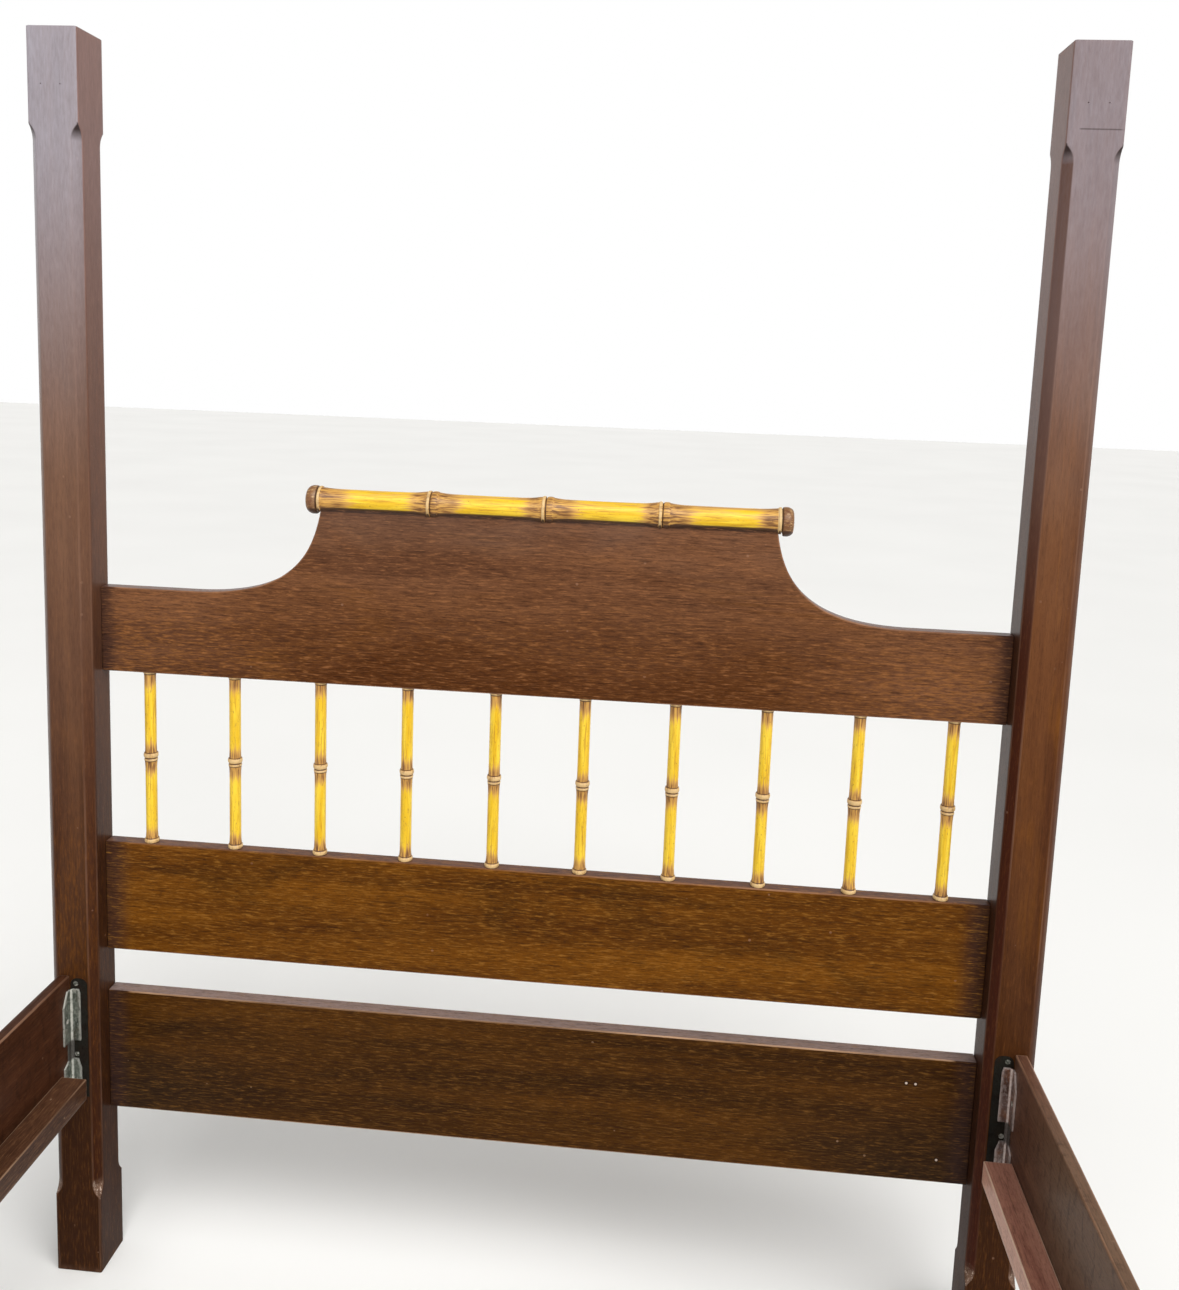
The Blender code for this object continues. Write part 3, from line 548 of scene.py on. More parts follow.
post = dict(
    arris=0.0012, halo=0.004, block=0.143, leg=0.0125, squareLeg=0.0016, stop=0.0275, scoop=2.3, stopRings=16,
    nailHoles={"left": (-0.795, -0.764), "right": (0.7625, 0.792)}, nailHeight=2.0075, nailRadius=0.0011,
)
tenon = dict(thickness=0.009, shoulder=0.020, length=0.045, room=0.001, crestEnd=0.1423)
hardware = dict(
    plateStart=0.0008, plateWidth=0.0297, plateLow=0.334, plateHigh=0.549, plateCorner=0.012,
    plateThick=0.0025, hookAcross=0.0103, hookThick=0.003, hookLow=(0.372, 0.470), hookNeck=0.012,
    hookDrop=0.008, sidePlay=0.0008, lift=0.0085, plateScrews=(0.3425, 0.4115, 0.5395),
    bracketScrews=(0.372, 0.478), bracketScrewAlong=0.0145, shankRoom=0.0022, plateScrewDepth=0.024,
    cutterPast=0.01,
)


def chamferAt(distance):
    # leg of the chamfer, by distance from the tip of its scooped stop
    part = clamp(distance / post["stop"])
    return post["leg"] * (1 - (1 - part) ** post["scoop"])


def postSection(half, leg):
    # one quarter: the +X face's edge, the chamfer or arris, and the +Y face's edge; each point has its wear
    soft, halo = post["arris"], post["halo"]
    cut = max(leg, post["squareLeg"])
    slope = soft * math.sqrt(0.5)
    middleWear = clamp(1 - (cut - post["squareLeg"]) / 0.003)
    quarter = [
        (half, half - cut - soft - halo, 0.0),
        (half, half - cut - soft, 1.0),
        (half - slope * 0.9, half - cut + slope * 0.9, 1.0),
        (half - cut / 2, half - cut / 2, middleWear),
    ]
    quarter += [(y, x, wear) for x, y, wear in reversed(quarter[:3])]
    section = []
    for turn in range(4):
        c, s = round(math.cos(turn * math.pi / 2)), round(math.sin(turn * math.pi / 2))
        section += [(c * x - s * y, s * x + c * y, wear) for x, y, wear in quarter]
    return section


def postLevels(height):
    block, rings = post["block"], post["stopRings"]
    low = [block + post["stop"] * (number / rings) ** 1.4 for number in range(rings + 1)]
    low = [block - 0.002] + low + [block + post["stop"] * 1.3]
    high = [height - z for z in reversed(low)]
    middle = [low[-1] + (high[0] - low[-1]) * number / 9 for number in range(1, 9)]
    return [post["arris"], block * 0.5] + low + middle + high + [height - block * 0.5, height - post["arris"]]


def lathePost(low, high):
    # the post drawn up from its foot, one section at a time
    shape = bmesh.new()
    worn = shape.verts.layers.float.new("edge")
    chamfered = shape.verts.layers.float.new("chamfer")
    stopped = shape.verts.layers.float.new("footStop")
    hollowed = shape.verts.layers.float.new("topStop")
    height = high.z - low.z
    half = (high.x - low.x) / 2
    centre = Vector(((low.x + high.x) / 2, (low.y + high.y) / 2, low.z))

    def settle(verts, z, size, leg, wear=None):
        fromFoot, fromTop = [(d - post["block"]) / post["stop"] for d in (z, height - z)]
        for number, (v, (x, y, edge)) in enumerate(zip(verts, postSection(size, leg))):
            v.co = centre + Vector((x, y, z))
            v[worn] = edge if wear is None else wear
            onChamfer = 2 <= number % 7 <= 4
            v[chamfered] = clamp(min(fromFoot, fromTop) * 3 - 2) if onChamfer else 0.0
            v[stopped] = clamp(2.0 - fromFoot * 1.7) if onChamfer and fromFoot >= 0 else 0.0
            v[hollowed] = clamp(1.5 - fromTop * 1.6) if onChamfer and fromTop >= 0 else 0.0

    start = postSection(half, 0.0)
    ring = [shape.verts.new((x, y, 0)) for x, y, edge in start]
    settle(ring, 0.0, half - post["arris"], 0.0, 1.0)
    face = shape.faces.new(ring)
    levels = postLevels(height)
    for z in levels + [height]:
        drawn = bmesh.ops.extrude_discrete_faces(shape, faces=[face])["faces"][0]
        face = drawn
        last = z == height
        near = min(z - post["block"], height - post["block"] - z)
        wear = 1.0 if last or z == levels[0] or z == levels[-1] else None
        settle(face.verts, z, half - (post["arris"] if last else 0), 0.0 if last else chamferAt(near), wear)
    bmesh.ops.holes_fill(shape, edges=[e for e in shape.edges if e.is_boundary], sides=len(start))
    for cap in [f for f in shape.faces if len(f.verts) == len(start)]:
        inside = bmesh.ops.extrude_discrete_faces(shape, faces=[cap])["faces"][0]
        shrink = 1 - post["halo"] / half
        middle = Matrix.Translation(-inside.calc_center_median())
        bmesh.ops.scale(shape, vec=(shrink, shrink, 1), space=middle, verts=inside.verts)
        for v in inside.verts:
            v[worn] = 0.0
    bmesh.ops.recalc_face_normals(shape, faces=shape.faces)
    return shape


def addPlateRecess(shape, side, end, room):
    depth = hardware["plateThick"] + bed["gap"]
    near = hardware["plateStart"] - room
    far = hardware["plateStart"] + hardware["plateWidth"] + room
    low, high = hardware["plateLow"] - room, hardware["plateHigh"] + room
    radius = hardware["plateCorner"] + room
    outline = [(near, low), (far, low)]
    for centreAcross, first in ((far - radius, 0), (near + radius, 90)):
        for step in range(9):
            angle = math.radians(first + 90 * step / 8)
            up = high - radius + radius * math.sin(angle)
            outline.append((centreAcross + radius * math.cos(angle), up))
    past = hardware["cutterPast"]
    ring = [(side * (bed["railInner"] - across), end * (bed["postFace"] - past), z) for across, z in outline]
    drawFace(shape, ring, (0, end * (past + depth), 0))


def buildPost(sideName, endName):
    side, end = sides[sideName], ends[endName]
    node = f"{endName}_post_{sideName}"
    low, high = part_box(node)
    piece = makePiece(
        f"{endName}Post{sideName.capitalize()}", lathePost(low, high), [node],
        woods["post" + sideName.capitalize()],
    )
    cutter = bmesh.new()
    addPlateRecess(cutter, side, end, bed["gap"])
    face, gap, h = bed["postFace"], bed["gap"], hardware
    near, reach = end * (face - h["cutterPast"]), end * (face + 2 * h["plateThick"] + 2 * gap + tenon["room"])
    middle = side * (bed["railInner"] - h["hookAcross"])
    half = h["hookThick"] / 2 + h["sidePlay"]
    for z in h["hookLow"]:
        low, high = z - h["hookDrop"] - tenon["room"], z + h["hookNeck"] + h["lift"] + tenon["room"]
        addBlock(cutter, (middle - half, near, low), (middle + half, reach, high))
    for z in h["plateScrews"]:
        deep = end * (face + h["plateScrewDepth"])
        addRod(cutter, (middle, near, z), (middle, deep, z), h["shankRoom"], 12)
    boards = ["bottom_rail", "middle_rail"] if endName == "foot" else ["bottom_rail", "middle_rail", "crest"]
    for board in boards:
        boardLow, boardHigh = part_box("crest_panel" if board == "crest" else f"{endName}_{board}")
        if board == "crest":
            boardHigh.z = boardLow.z + tenon["crestEnd"]
        y = (boardLow.y + boardHigh.y) / 2
        thick = tenon["thickness"] / 2 + gap
        addBlock(
            cutter,
            (side * (bed["postInner"] - h["cutterPast"]), y - thick, boardLow.z + tenon["shoulder"] - gap),
            (side * (boardHigh.x + tenon["room"]), y + thick, boardHigh.z - tenon["shoulder"] + gap),
        )
    if endName == "head":
        for x in post["nailHoles"][sideName]:
            addRod(
                cutter, (x, face - 0.001, post["nailHeight"]), (x, face + 0.003, post["nailHeight"]),
                post["nailRadius"], 10, post["nailRadius"] * 0.4,
            )
    return carve(piece, cutter)


for endName in ends:
    for sideName in sides:
        buildPost(sideName, endName)
print("posts made")


# Cross boards

board = dict(arris=0.0016, halo=0.0035, dowelRadius=0.0058, dowelDepth=0.012, dowelPitch=0.1465)


def spindlePlaces():
    return [board["dowelPitch"] * (number - 4.5) for number in range(10)]


def drawTenons(shape, flats, height):
    reach = bed["postInner"] - 2 * bed["gap"]
    for f in [f for f in flats if abs(f.calc_center_median().x) > reach]:
        drawTenon(shape, f, tenon["thickness"], height - 2 * tenon["shoulder"], tenon["length"])


def boreDowelHoles(piece, faceHeight, into):
    cutter = bmesh.new()
    low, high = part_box("spindle_05")
    y = (low.y + high.y) / 2
    for x in spindlePlaces():
        addRod(
            cutter, (x, y, faceHeight - into * 0.01), (x, y, faceHeight + into * board["dowelDepth"]),
            board["dowelRadius"], 16,
        )
    carve(piece, cutter)


def buildBoard(node, material):
    low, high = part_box(node)
    shape = bmesh.new()
    half = bed["postInner"] - bed["gap"]
    addBlock(shape, (-half, low.y, low.z), (half, high.y, high.z))
    flats = easeArrises(shape, board["arris"], board["halo"])
    drawTenons(shape, flats, high.z - low.z)
    words = node.split("_")
    name = words[0] + "".join(word.capitalize() for word in words[1:])
    return makePiece(name, shape, [node], material)


for endName in ends:
    buildBoard(f"{endName}_bottom_rail", woods["bottom"])
    rail = buildBoard(f"{endName}_middle_rail", woods["middle"])
    if endName == "head":
        boreDowelHoles(rail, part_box("head_middle_rail")[1].z, -1)

crest = dict(
    topHalfWidth=0.3645, shoulderRun=0.2159, lean=math.radians(81), topPull=0.0838, footPull=0.1665,
    points=41, endHeight=0.1423,
)


def crestShoulder(low, high):
    top = Vector((crest["topHalfWidth"], 0, high.z))
    foot = Vector((crest["topHalfWidth"] + crest["shoulderRun"], 0, low.z + crest["endHeight"]))
    topPull = Vector((math.cos(crest["lean"]), 0, -math.sin(crest["lean"]))) * crest["topPull"]
    return interpolate_bezier(
        top, top + topPull, foot + Vector((-crest["footPull"], 0, 0)), foot, crest["points"]
    )


def buildCrest():
    low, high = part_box("crest_panel")
    half = bed["postInner"] - bed["gap"]
    right = [Vector((half, 0, low.z)), Vector((half, 0, low.z + crest["endHeight"]))]
    right += reversed(crestShoulder(low, high))
    outline = right + [Vector((-p.x, 0, p.z)) for p in reversed(right)]
    shape = bmesh.new()
    drawFace(shape, [(p.x, low.y, p.z) for p in outline], (0, high.y - low.y, 0))
    flats = easeArrises(shape, board["arris"], board["halo"])
    drawTenons(shape, flats, crest["endHeight"])
    piece = makePiece("crestPanel", shape, ["crest_panel"], woods["crest"])
    boreDowelHoles(piece, low.z, 1)
    return piece


buildCrest()
print("cross boards made")


# Bamboo turnings

roll = dict(
    shaft=0.0187, nodePitch=0.185, waist=0.0004, flareRise=0.0027, flareLength=0.030,
    leftRing=(-0.0038, 0.0032, 0.0229), rightRing=(0.0058, 0.0056, 0.0222), ringFoot=0.0207,
    groove=0.0200, grooveHalf=0.00075, flareStart=0.008, button=0.0175, buttonRadius=0.0232,
    domeLength=0.0115, domeDrop=0.0085, innerRound=0.004, innerDrop=0.0014, endRing=0.0050,
    endRingFoot=0.0212, endRingSwell=0.0014, endGroove=0.0014, endGrooveRadius=0.0201, endFlareExtra=0.006,
    steps=64,
)
spindle = dict(
    shaft=0.0094, flareRise=0.0010, flareLength=0.014, flareStart=0.005, upperRing=(0.0050, 0.0043, 0.0119),
    lowerRing=(-0.0028, 0.0020, 0.0109), ringFoot=0.0103, groove=0.0098, grooveHalf=0.0007, topRing=0.0026,
    topRadius=0.0108, topSwell=0.0006, topFlare=(0.0009, 0.012), footFlare=(0.0026, 0.022), footRing=0.007,
    footRadius=0.0122, footSwell=0.0014, dowelEase=0.0008, steps=32,
)


def bulge(distance, half):
    part = abs(distance) / half
    return math.sqrt(1 - part * part) if part < 1 else 0.0


def flare(distance, length):
    part = 1 - abs(distance) / length
    return part * part if part > 0 else 0.0


def ringed(turning, radius, distance, rings):
    # the node's rings stand up from the shaft, with a groove between them
    for middle, half, size in rings:
        swell = bulge(distance - middle, half)
        if swell:
            radius = max(radius, turning["ringFoot"] + (size - turning["ringFoot"]) * swell)
    return turning["groove"] if abs(distance) < turning["grooveHalf"] else radius


def buttonRadius(fromEnd):
    outer = 1 - clamp(fromEnd / roll["domeLength"])
    inner = 1 - clamp((roll["button"] - fromEnd) / roll["innerRound"])
    dome = roll["domeDrop"] * (1 - math.sqrt(1 - outer * outer))
    return roll["buttonRadius"] - dome - roll["innerDrop"] * inner * inner


def rollRadius(x, halfLength):
    fromEnd = halfLength - abs(x)
    if fromEnd < roll["button"]:
        return buttonRadius(fromEnd)
    past = fromEnd - roll["button"] - roll["endGroove"]
    if past < 0:
        return roll["endGrooveRadius"]
    shaft = roll["shaft"] - roll["waist"] * math.sin(math.pi * x / roll["nodePitch"]) ** 2
    radius = shaft + roll["flareRise"] * flare(past, roll["flareLength"] + roll["endFlareExtra"])
    if past < roll["endRing"]:
        half = roll["endRing"] / 2
        radius = max(radius, roll["endRingFoot"] + roll["endRingSwell"] * bulge(past - half, half))
    node = round(x / roll["nodePitch"])
    if abs(node) > 1:
        return radius
    distance = x - node * roll["nodePitch"]
    rise = roll["flareRise"] * flare(abs(distance) - roll["flareStart"], roll["flareLength"])
    return ringed(roll, max(radius, shaft + rise), distance, (roll["leftRing"], roll["rightRing"]))


def spacedPoints(start, stop, fine, coarse, spots, reach):
    # heights from start to stop, close together near the spots
    places, here = [], start
    while here < stop:
        places.append(here)
        near = min(abs(here - spot) for spot in spots)
        here += fine if near < reach else coarse
    return places + [stop]


def buildRoll():
    low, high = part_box("crest_roll")
    halfLength = (high.x - low.x) / 2
    spots = [-halfLength, -roll["nodePitch"], 0.0, roll["nodePitch"], halfLength]
    profile = [(0.0, -halfLength)]
    for x in spacedPoints(-halfLength, halfLength, 0.0007, 0.006, spots, 0.030):
        profile.append((rollRadius(x, halfLength), x))
    profile.append((0.0, halfLength))
    centre = (0, (low.y + high.y) / 2, (low.z + high.z) / 2)
    shape = turnProfile(profile, roll["steps"], "X", centre)
    piece = makePiece("crestRoll", shape, ["crest_roll"], bambooRoll, sharp=50)
    panelLow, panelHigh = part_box("crest_panel")
    cutter = bmesh.new()
    reach = crest["topHalfWidth"] + 0.0083
    addBlock(
        cutter, (-reach, panelLow.y - bed["gap"], panelHigh.z - 0.05),
        (reach, panelHigh.y + bed["gap"], panelHigh.z + bed["gap"]),
    )
    return carve(piece, cutter, sharp=50)


def spindleRadius(z, low, high):
    distance = z - (low + high) / 2
    fromTop, fromFoot = high - z, z - low
    radius = spindle["shaft"]
    radius += spindle["flareRise"] * flare(abs(distance) - spindle["flareStart"], spindle["flareLength"])
    for away, (rise, length) in ((fromTop, spindle["topFlare"]), (fromFoot, spindle["footFlare"])):
        radius += rise * flare(away, length)
    if fromTop < spindle["topRing"]:
        half = spindle["topRing"] / 2
        return spindle["topRadius"] - spindle["topSwell"] * (1 - bulge(fromTop - half, half))
    if fromFoot < spindle["footRing"]:
        half = spindle["footRing"] / 2
        return spindle["footRadius"] - spindle["footSwell"] * (1 - bulge(fromFoot - half, half))
    return ringed(spindle, radius, distance, (spindle["upperRing"], spindle["lowerRing"]))


def buildSpindle(number, x):
    node = f"spindle_{number:02d}"
    boxLow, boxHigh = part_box(node)
    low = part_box("head_middle_rail")[1].z + bed["gap"]
    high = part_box("crest_panel")[0].z - bed["gap"]
    spots = [low, (low + high) / 2, high]
    dowel, eased = board["dowelRadius"] - bed["gap"], spindle["dowelEase"]
    profile = [(0.0, boxLow.z), (dowel - eased, boxLow.z), (dowel, boxLow.z + eased), (dowel, low)]
    for z in spacedPoints(low, high, 0.0006, 0.006, spots, 0.012):
        profile.append((spindleRadius(z, low, high), z))
    profile += [(dowel, high), (dowel, boxHigh.z - eased), (dowel - eased, boxHigh.z), (0.0, boxHigh.z)]
    shape = turnProfile(profile, spindle["steps"], "Z", (x, (boxLow.y + boxHigh.y) / 2, 0))
    return makePiece(f"spindle{number:02d}", shape, [node], bambooSpindle, sharp=50)


bambooLook = dict(
    yellow=(216, 172, 12), bright=(232, 198, 52), ochre=(172, 118, 20), tan=(196, 146, 78),
    brown=(138, 90, 46), deep=(64, 36, 16), cream=(206, 174, 122), cap=(108, 68, 40), chip=(96, 62, 36),
)


def bambooMaterial(name, axis, rings, grooves, glazes, caps):
    # rings, grooves and glazes are (middle, half width) along the axis; a glaze fades out over its half width
    shader = Shader(name, bambooLook)
    place = shader.place()
    turned = shader.add("Mapping", inputs={"Vector": place, "Rotation": grainTurn[axis]})
    run = shader.axes(turned)[0]
    local = run
    if axis == "X":
        local = run - (run / roll["nodePitch"]).math("ROUND") * roll["nodePitch"]
    facing = shader.axes(shader.add("TexCoord", output=1))
    brush = shader.noise(turned, (0.055, 0.0024, 0.0024), 3.0, 0.6, 0.1)
    broad = shader.noise(turned, (0.11, 0.007, 0.007), 3.0, 0.6, 0.3, (3, 3, 3))
    mottle = shader.noise(place, (0.012, 0.012, 0.012), 4.0, 0.65)
    flecks = shader.noise(turned, (0.008, 0.0028, 0.0028), 3.0, 0.7, 0.0, (6, 2, 2))
    shader.lay("yellow")
    shader.lay("bright", broad.between(0.35, 0.65))
    shader.lay("ochre", brush.between(0.50, 0.68) * 0.7)
    shader.lay("brown", flecks.between(0.56, 0.72) * (0.35 if axis == "X" else 0.6))

    def reachOf(distance, half):
        return (distance / (half * (0.8 + (brush - 0.5) * 1.5 + (broad - 0.5) * 0.8))).between(1.0, 0.1)

    shade = None
    for middle, half in glazes:
        here = reachOf(abs(local - middle), half)
        shade = here if shade is None else shade.largest(here)
    for middle, half in caps:
        shade = shade.largest(reachOf(middle - abs(run), half))
    if axis == "X":
        shade = shade.largest(facing[2].between(0.3, 1.0) * broad.between(0.40, 0.60) * 0.6)
    shader.lay("tan", shade.between(0.0, 0.55) * 0.85)
    shader.lay("brown", shade.between(0.25, 0.9) * brush.between(0.34, 0.60) * 0.85)
    shader.lay("deep", shade.between(0.45, 1.0) * brush.between(0.46, 0.66) * 0.7)

    ringMask = None
    for middle, half in rings:
        here = abs(local - middle).between(half * 1.05, half * 0.65)
        ringMask = here if ringMask is None else ringMask.largest(here)
    shader.lay("cream", ringMask * (0.3 + mottle.between(0.3, 0.55) * 0.65))
    grooveMask = None
    for middle, half in grooves:
        here = abs(local - middle).between(half * 1.5, half * 0.6)
        grooveMask = here if grooveMask is None else grooveMask.largest(here)
    shader.lay("deep", grooveMask * 0.9)
    for middle, half in caps:
        ringPlace = middle - roll["button"] - roll["endGroove"] - roll["endRing"] / 2
        endRing = abs(abs(run) - ringPlace).between(roll["endRing"] * 0.55, roll["endRing"] * 0.35)
        shader.lay("cream", endRing * (0.35 + mottle.between(0.3, 0.55) * 0.6))
        capMask = abs(run).between(middle - roll["button"] - 0.001, middle - roll["button"] + 0.001)
        shader.lay("cap", capMask * (0.7 + mottle * 0.3))
        shader.lay("cream", capMask * flecks.between(0.52, 0.68) * 0.65)
        shader.lay("deep", capMask * flecks.between(0.45, 0.30) * 0.6)
        capGroove = abs(abs(run) - middle + roll["button"]).between(0.0016, 0.0007)
        shader.lay("deep", capGroove * 0.85)
    if axis == "X":
        # painted shade: the roll's underside darkens to a thin dark line
        shader.lay("deep", facing[2].between(-0.46, -0.60) * 0.95)
    chips = shader.specks(place, (0.011, 0.011, 0.011), 0.07, 0.10) * mottle.between(0.5, 0.6)
    shader.lay("chip", chips * 0.7)
    height = brush * 0.5 + mottle * 0.3 - chips + flecks * 0.2
    return shader.finish(
        Roughness=0.38 + mottle * 0.2 + chips * 0.2, Specular_IOR_Level=0.4,
        Coat_Weight=0.12, Coat_Roughness=0.2, Normal=shader.bump(height, 0.3, 0.0003),
    )


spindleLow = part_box("head_middle_rail")[1].z + bed["gap"]
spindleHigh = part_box("crest_panel")[0].z - bed["gap"]
spindleMiddle = (spindleLow + spindleHigh) / 2
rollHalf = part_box("crest_roll")[1].x
bambooRoll = bambooMaterial(
    "bambooRollPaint", "X",
    rings=[(-0.0038, 0.0026)],
    grooves=[(0.0, 0.0008)],
    glazes=[(-0.005, 0.055), (0.012, 0.070)],
    caps=[(rollHalf, 0.075)],
)
bambooSpindle = bambooMaterial(
    "bambooSpindlePaint", "Z",
    rings=[(spindleMiddle + 0.0050, 0.0040), (spindleMiddle - 0.0028, 0.0019), (spindleHigh - 0.0013, 0.0018),
           (spindleLow + 0.0035, 0.0036)],
    grooves=[(spindleMiddle, 0.0009), (spindleMiddle - 0.0052, 0.0006), (spindleMiddle + 0.0096, 0.0005),
             (spindleHigh - 0.0036, 0.0008), (spindleLow + 0.0078, 0.0007)],
    glazes=[(spindleMiddle, 0.046), (spindleHigh, 0.046), (spindleLow, 0.046)],
    caps=[],
)
buildRoll()
for number, x in enumerate(spindlePlaces(), 1):
    buildSpindle(number, x)
print("bamboo turnings made")


# Side rails, ledgers and slats

rails = dict(
    arris=0.0022, halo=0.004, ledgerArris=0.0014, slatArris=0.0018, slatHalo=0.003, pilotRadius=0.0022,
    pilotDepth=0.013,
)


def buildBar(name, node, material, arris, halo=rails["halo"]):
    low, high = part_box(node)
    shape = bmesh.new()
    addBlock(shape, low, high)
    easeArrises(shape, arris, halo)
    return makePiece(name, shape, [node], material)


slatWood = slatMaterial("slatWood")
for sideName, side in sides.items():
    word = sideName.capitalize()
    wood = woods["rail" + word]
    rail = buildBar(f"sideRail{word}", f"side_rail_{sideName}", wood, rails["arris"])
    cutter = bmesh.new()
    near = side * (bed["railInner"] - hardware["cutterPast"])
    deep = side * (bed["railInner"] + rails["pilotDepth"])
    for end in ends.values():
        y = end * (bed["postFace"] - bed["gap"] - hardware["bracketScrewAlong"])
        for z in hardware["bracketScrews"]:
            addRod(cutter, (near, y, z), (deep, y, z), rails["pilotRadius"], 12)
    carve(rail, cutter)
    buildBar(f"ledger{word}", f"ledger_{sideName}", woods["ledger" + word], rails["ledgerArris"])
for number in range(1, 5):
    buildBar(f"slat{number}", f"slat_{number}", slatWood, rails["slatArris"], rails["slatHalo"])
print("rails, ledgers and slats made")


# Rail fasteners and screws

metalLook = dict(
    steel=(122, 128, 118), pale=(196, 200, 190), tarnish=(74, 80, 70), rust=(112, 66, 40), dirt=(34, 25, 18),
    ridge=(222, 222, 212), rustAmount=0.15, paleAmount=0.4, ridgeAmount=0.75, roughness=0.45, metallic=0.7,
    dirtAmount=0.0, dirtHeights=None, gloss=0.5,
)


def metalMaterial(name, **changes):
    look = {**metalLook, **changes}
    shader = Shader(name, look)
    place = shader.place()
    up = shader.axes(place)[2]
    cloud = shader.noise(place, (0.018, 0.018, 0.030), 4.0, 0.65)
    scale = shader.noise(place, (0.004, 0.004, 0.006), 3.0, 0.7, 0.0, (2, 5, 3))
    grit = shader.noise(place, (0.0012, 0.0012, 0.0012), 3.0, 0.7)
    rustSpot = shader.noise(place, (0.016, 0.016, 0.022), 4.0, 0.7, 0.4, (8, 1, 6))
    shader.lay("tarnish")
    shader.lay("steel", cloud.between(0.35, 0.65))
    shader.lay("pale", scale.between(0.48, 0.66) * look["paleAmount"])
    rust = rustSpot.between(0.44, 0.64) * look["rustAmount"]
    shader.lay("rust", rust)
    # painted highlight along the bends and rims
    ridge = shader.attribute("edge") * scale.between(0.25, 0.5)
    shader.lay("ridge", ridge * look["ridgeAmount"])
    dirt = grit.between(0.58, 0.70) * 0.6 + look["dirtAmount"] * (0.85 + cloud * 0.3)
    # a darker band across the bracket at the heights of the gap between its lugs
    if look["dirtHeights"]:
        low, high = look["dirtHeights"]
        dirt = dirt + up.between(low - 0.004, low + 0.002) * up.between(high + 0.004, high - 0.002) * 0.9
    shader.lay("dirt", dirt.smallest(1.0))
    rough = look["roughness"] + grit * 0.2 + rust * 0.25 + dirt * 0.2
    return shader.finish(
        Metallic=look["metallic"] * (1 - rust * 0.7) * (1 - dirt.smallest(0.8)),
        Roughness=rough, Specular_IOR_Level=look["gloss"],
        Normal=shader.bump(scale * 0.6 + grit * 0.4 + rust * 0.5, 0.4, 0.0003),
    )


metals = dict(
    plate=metalMaterial(
        "plateSteel", dirt=(17, 11, 7), rustAmount=0.4, paleAmount=0.1, roughness=0.75, metallic=0.0,
        dirtAmount=0.93, gloss=0.08,
    ),
    left=metalMaterial("bracketSteelLeft", dirtHeights=(0.4045, 0.438)),
    right=metalMaterial(
        "bracketSteelRight", steel=(124, 104, 98), pale=(186, 172, 168), tarnish=(88, 66, 58),
        rust=(128, 76, 40), ridge=(210, 196, 190), rustAmount=0.6, paleAmount=0.5,
        dirtHeights=(0.4045, 0.438),
    ),
    screw=metalMaterial(
        "screwSteel", steel=(176, 174, 166), pale=(226, 224, 214), rustAmount=0.1, paleAmount=0.9,
        roughness=0.32, metallic=0.4,
    ),
)
bracket = dict(
    low=0.352, high=0.5305, gapLow=0.4045, gapHigh=0.438, width=0.0173, leg=0.0243, neck=0.0113, thick=0.0025,
    slant=0.025, lugCut=0.0023, lugCorner=0.0085, lowLugCut=0.0053, bend=0.0024, corner=0.0022, edge=0.0004,
)


def lugWidth(z):
    b = bracket
    if z <= b["gapLow"]:
        part = clamp((z - b["gapLow"] + 2 * b["lugCorner"]) / (2 * b["lugCorner"]))
        return b["width"] - b["lowLugCut"] * part
    return b["width"] - b["lugCut"] * clamp((z - b["high"] + b["lugCorner"]) / b["lugCorner"])


def legLength(z):
    b = bracket
    if z <= b["gapLow"]:
        part = clamp((z - b["gapLow"] + b["lugCorner"]) / b["lugCorner"])
        return b["leg"] - (b["leg"] - b["neck"]) * part
    if z <= b["gapHigh"]:
        return b["neck"]
    return b["leg"] - (b["leg"] - b["neck"]) * clamp((z - b["high"] + b["slant"]) / b["slant"])


def bracketShape():
    # a folded strip: a row of points across the fold, drawn up level by level, then given its thickness
    b = bracket
    inner = bed["gap"] + b["thick"] / 2
    radius = b["bend"] + b["thick"] / 2
    shape = bmesh.new()
    bends = [math.radians(angle) for angle in (0, 22.5, 45, 67.5, 90)]
    fold = [(inner + radius * (1 - math.sin(a)), inner + radius * (1 - math.cos(a))) for a in bends]

    def rowAt(z):
        start = [(lugWidth(z), inner), (lugWidth(z) * 0.6 + fold[0][0] * 0.4, inner)]
        stop = [(inner, legLength(z) * 0.6 + fold[-1][1] * 0.4), (inner, legLength(z))]
        return start + fold + stop

    levels = [
        b["low"], b["gapLow"] - 2 * b["lugCorner"], b["gapLow"] - b["lugCorner"], b["gapLow"], b["gapHigh"],
        b["gapHigh"] + 0.0002, b["high"] - b["slant"], b["high"] - b["lugCorner"], b["high"],
    ]
    row = [shape.verts.new((across, away, levels[0])) for across, away in rowAt(levels[0])]
    edges = [shape.edges.new(pair) for pair in zip(row, row[1:])]
    for z in levels[1:]:
        drawn = bmesh.ops.extrude_edge_only(shape, edges=edges)["geom"]
        edges = [e for e in drawn if isinstance(e, bmesh.types.BMEdge)]
        fresh = [v for v in drawn if isinstance(v, bmesh.types.BMVert)]
        row = [min(fresh, key=lambda v: (v.co - old.co).length) for old in row]
        for v, (across, away) in zip(row, rowAt(z)):
            v.co = Vector((across, away, z))
    window = [
        f for f in shape.faces
        if b["gapLow"] < f.calc_center_median().z < b["gapHigh"] and f.calc_center_median().x > inner + radius
    ]
    bmesh.ops.delete(shape, geom=window, context="FACES")
    bmesh.ops.recalc_face_normals(shape, faces=shape.faces)
    bmesh.ops.solidify(shape, geom=shape.faces[:], thickness=b["thick"])
    return shape


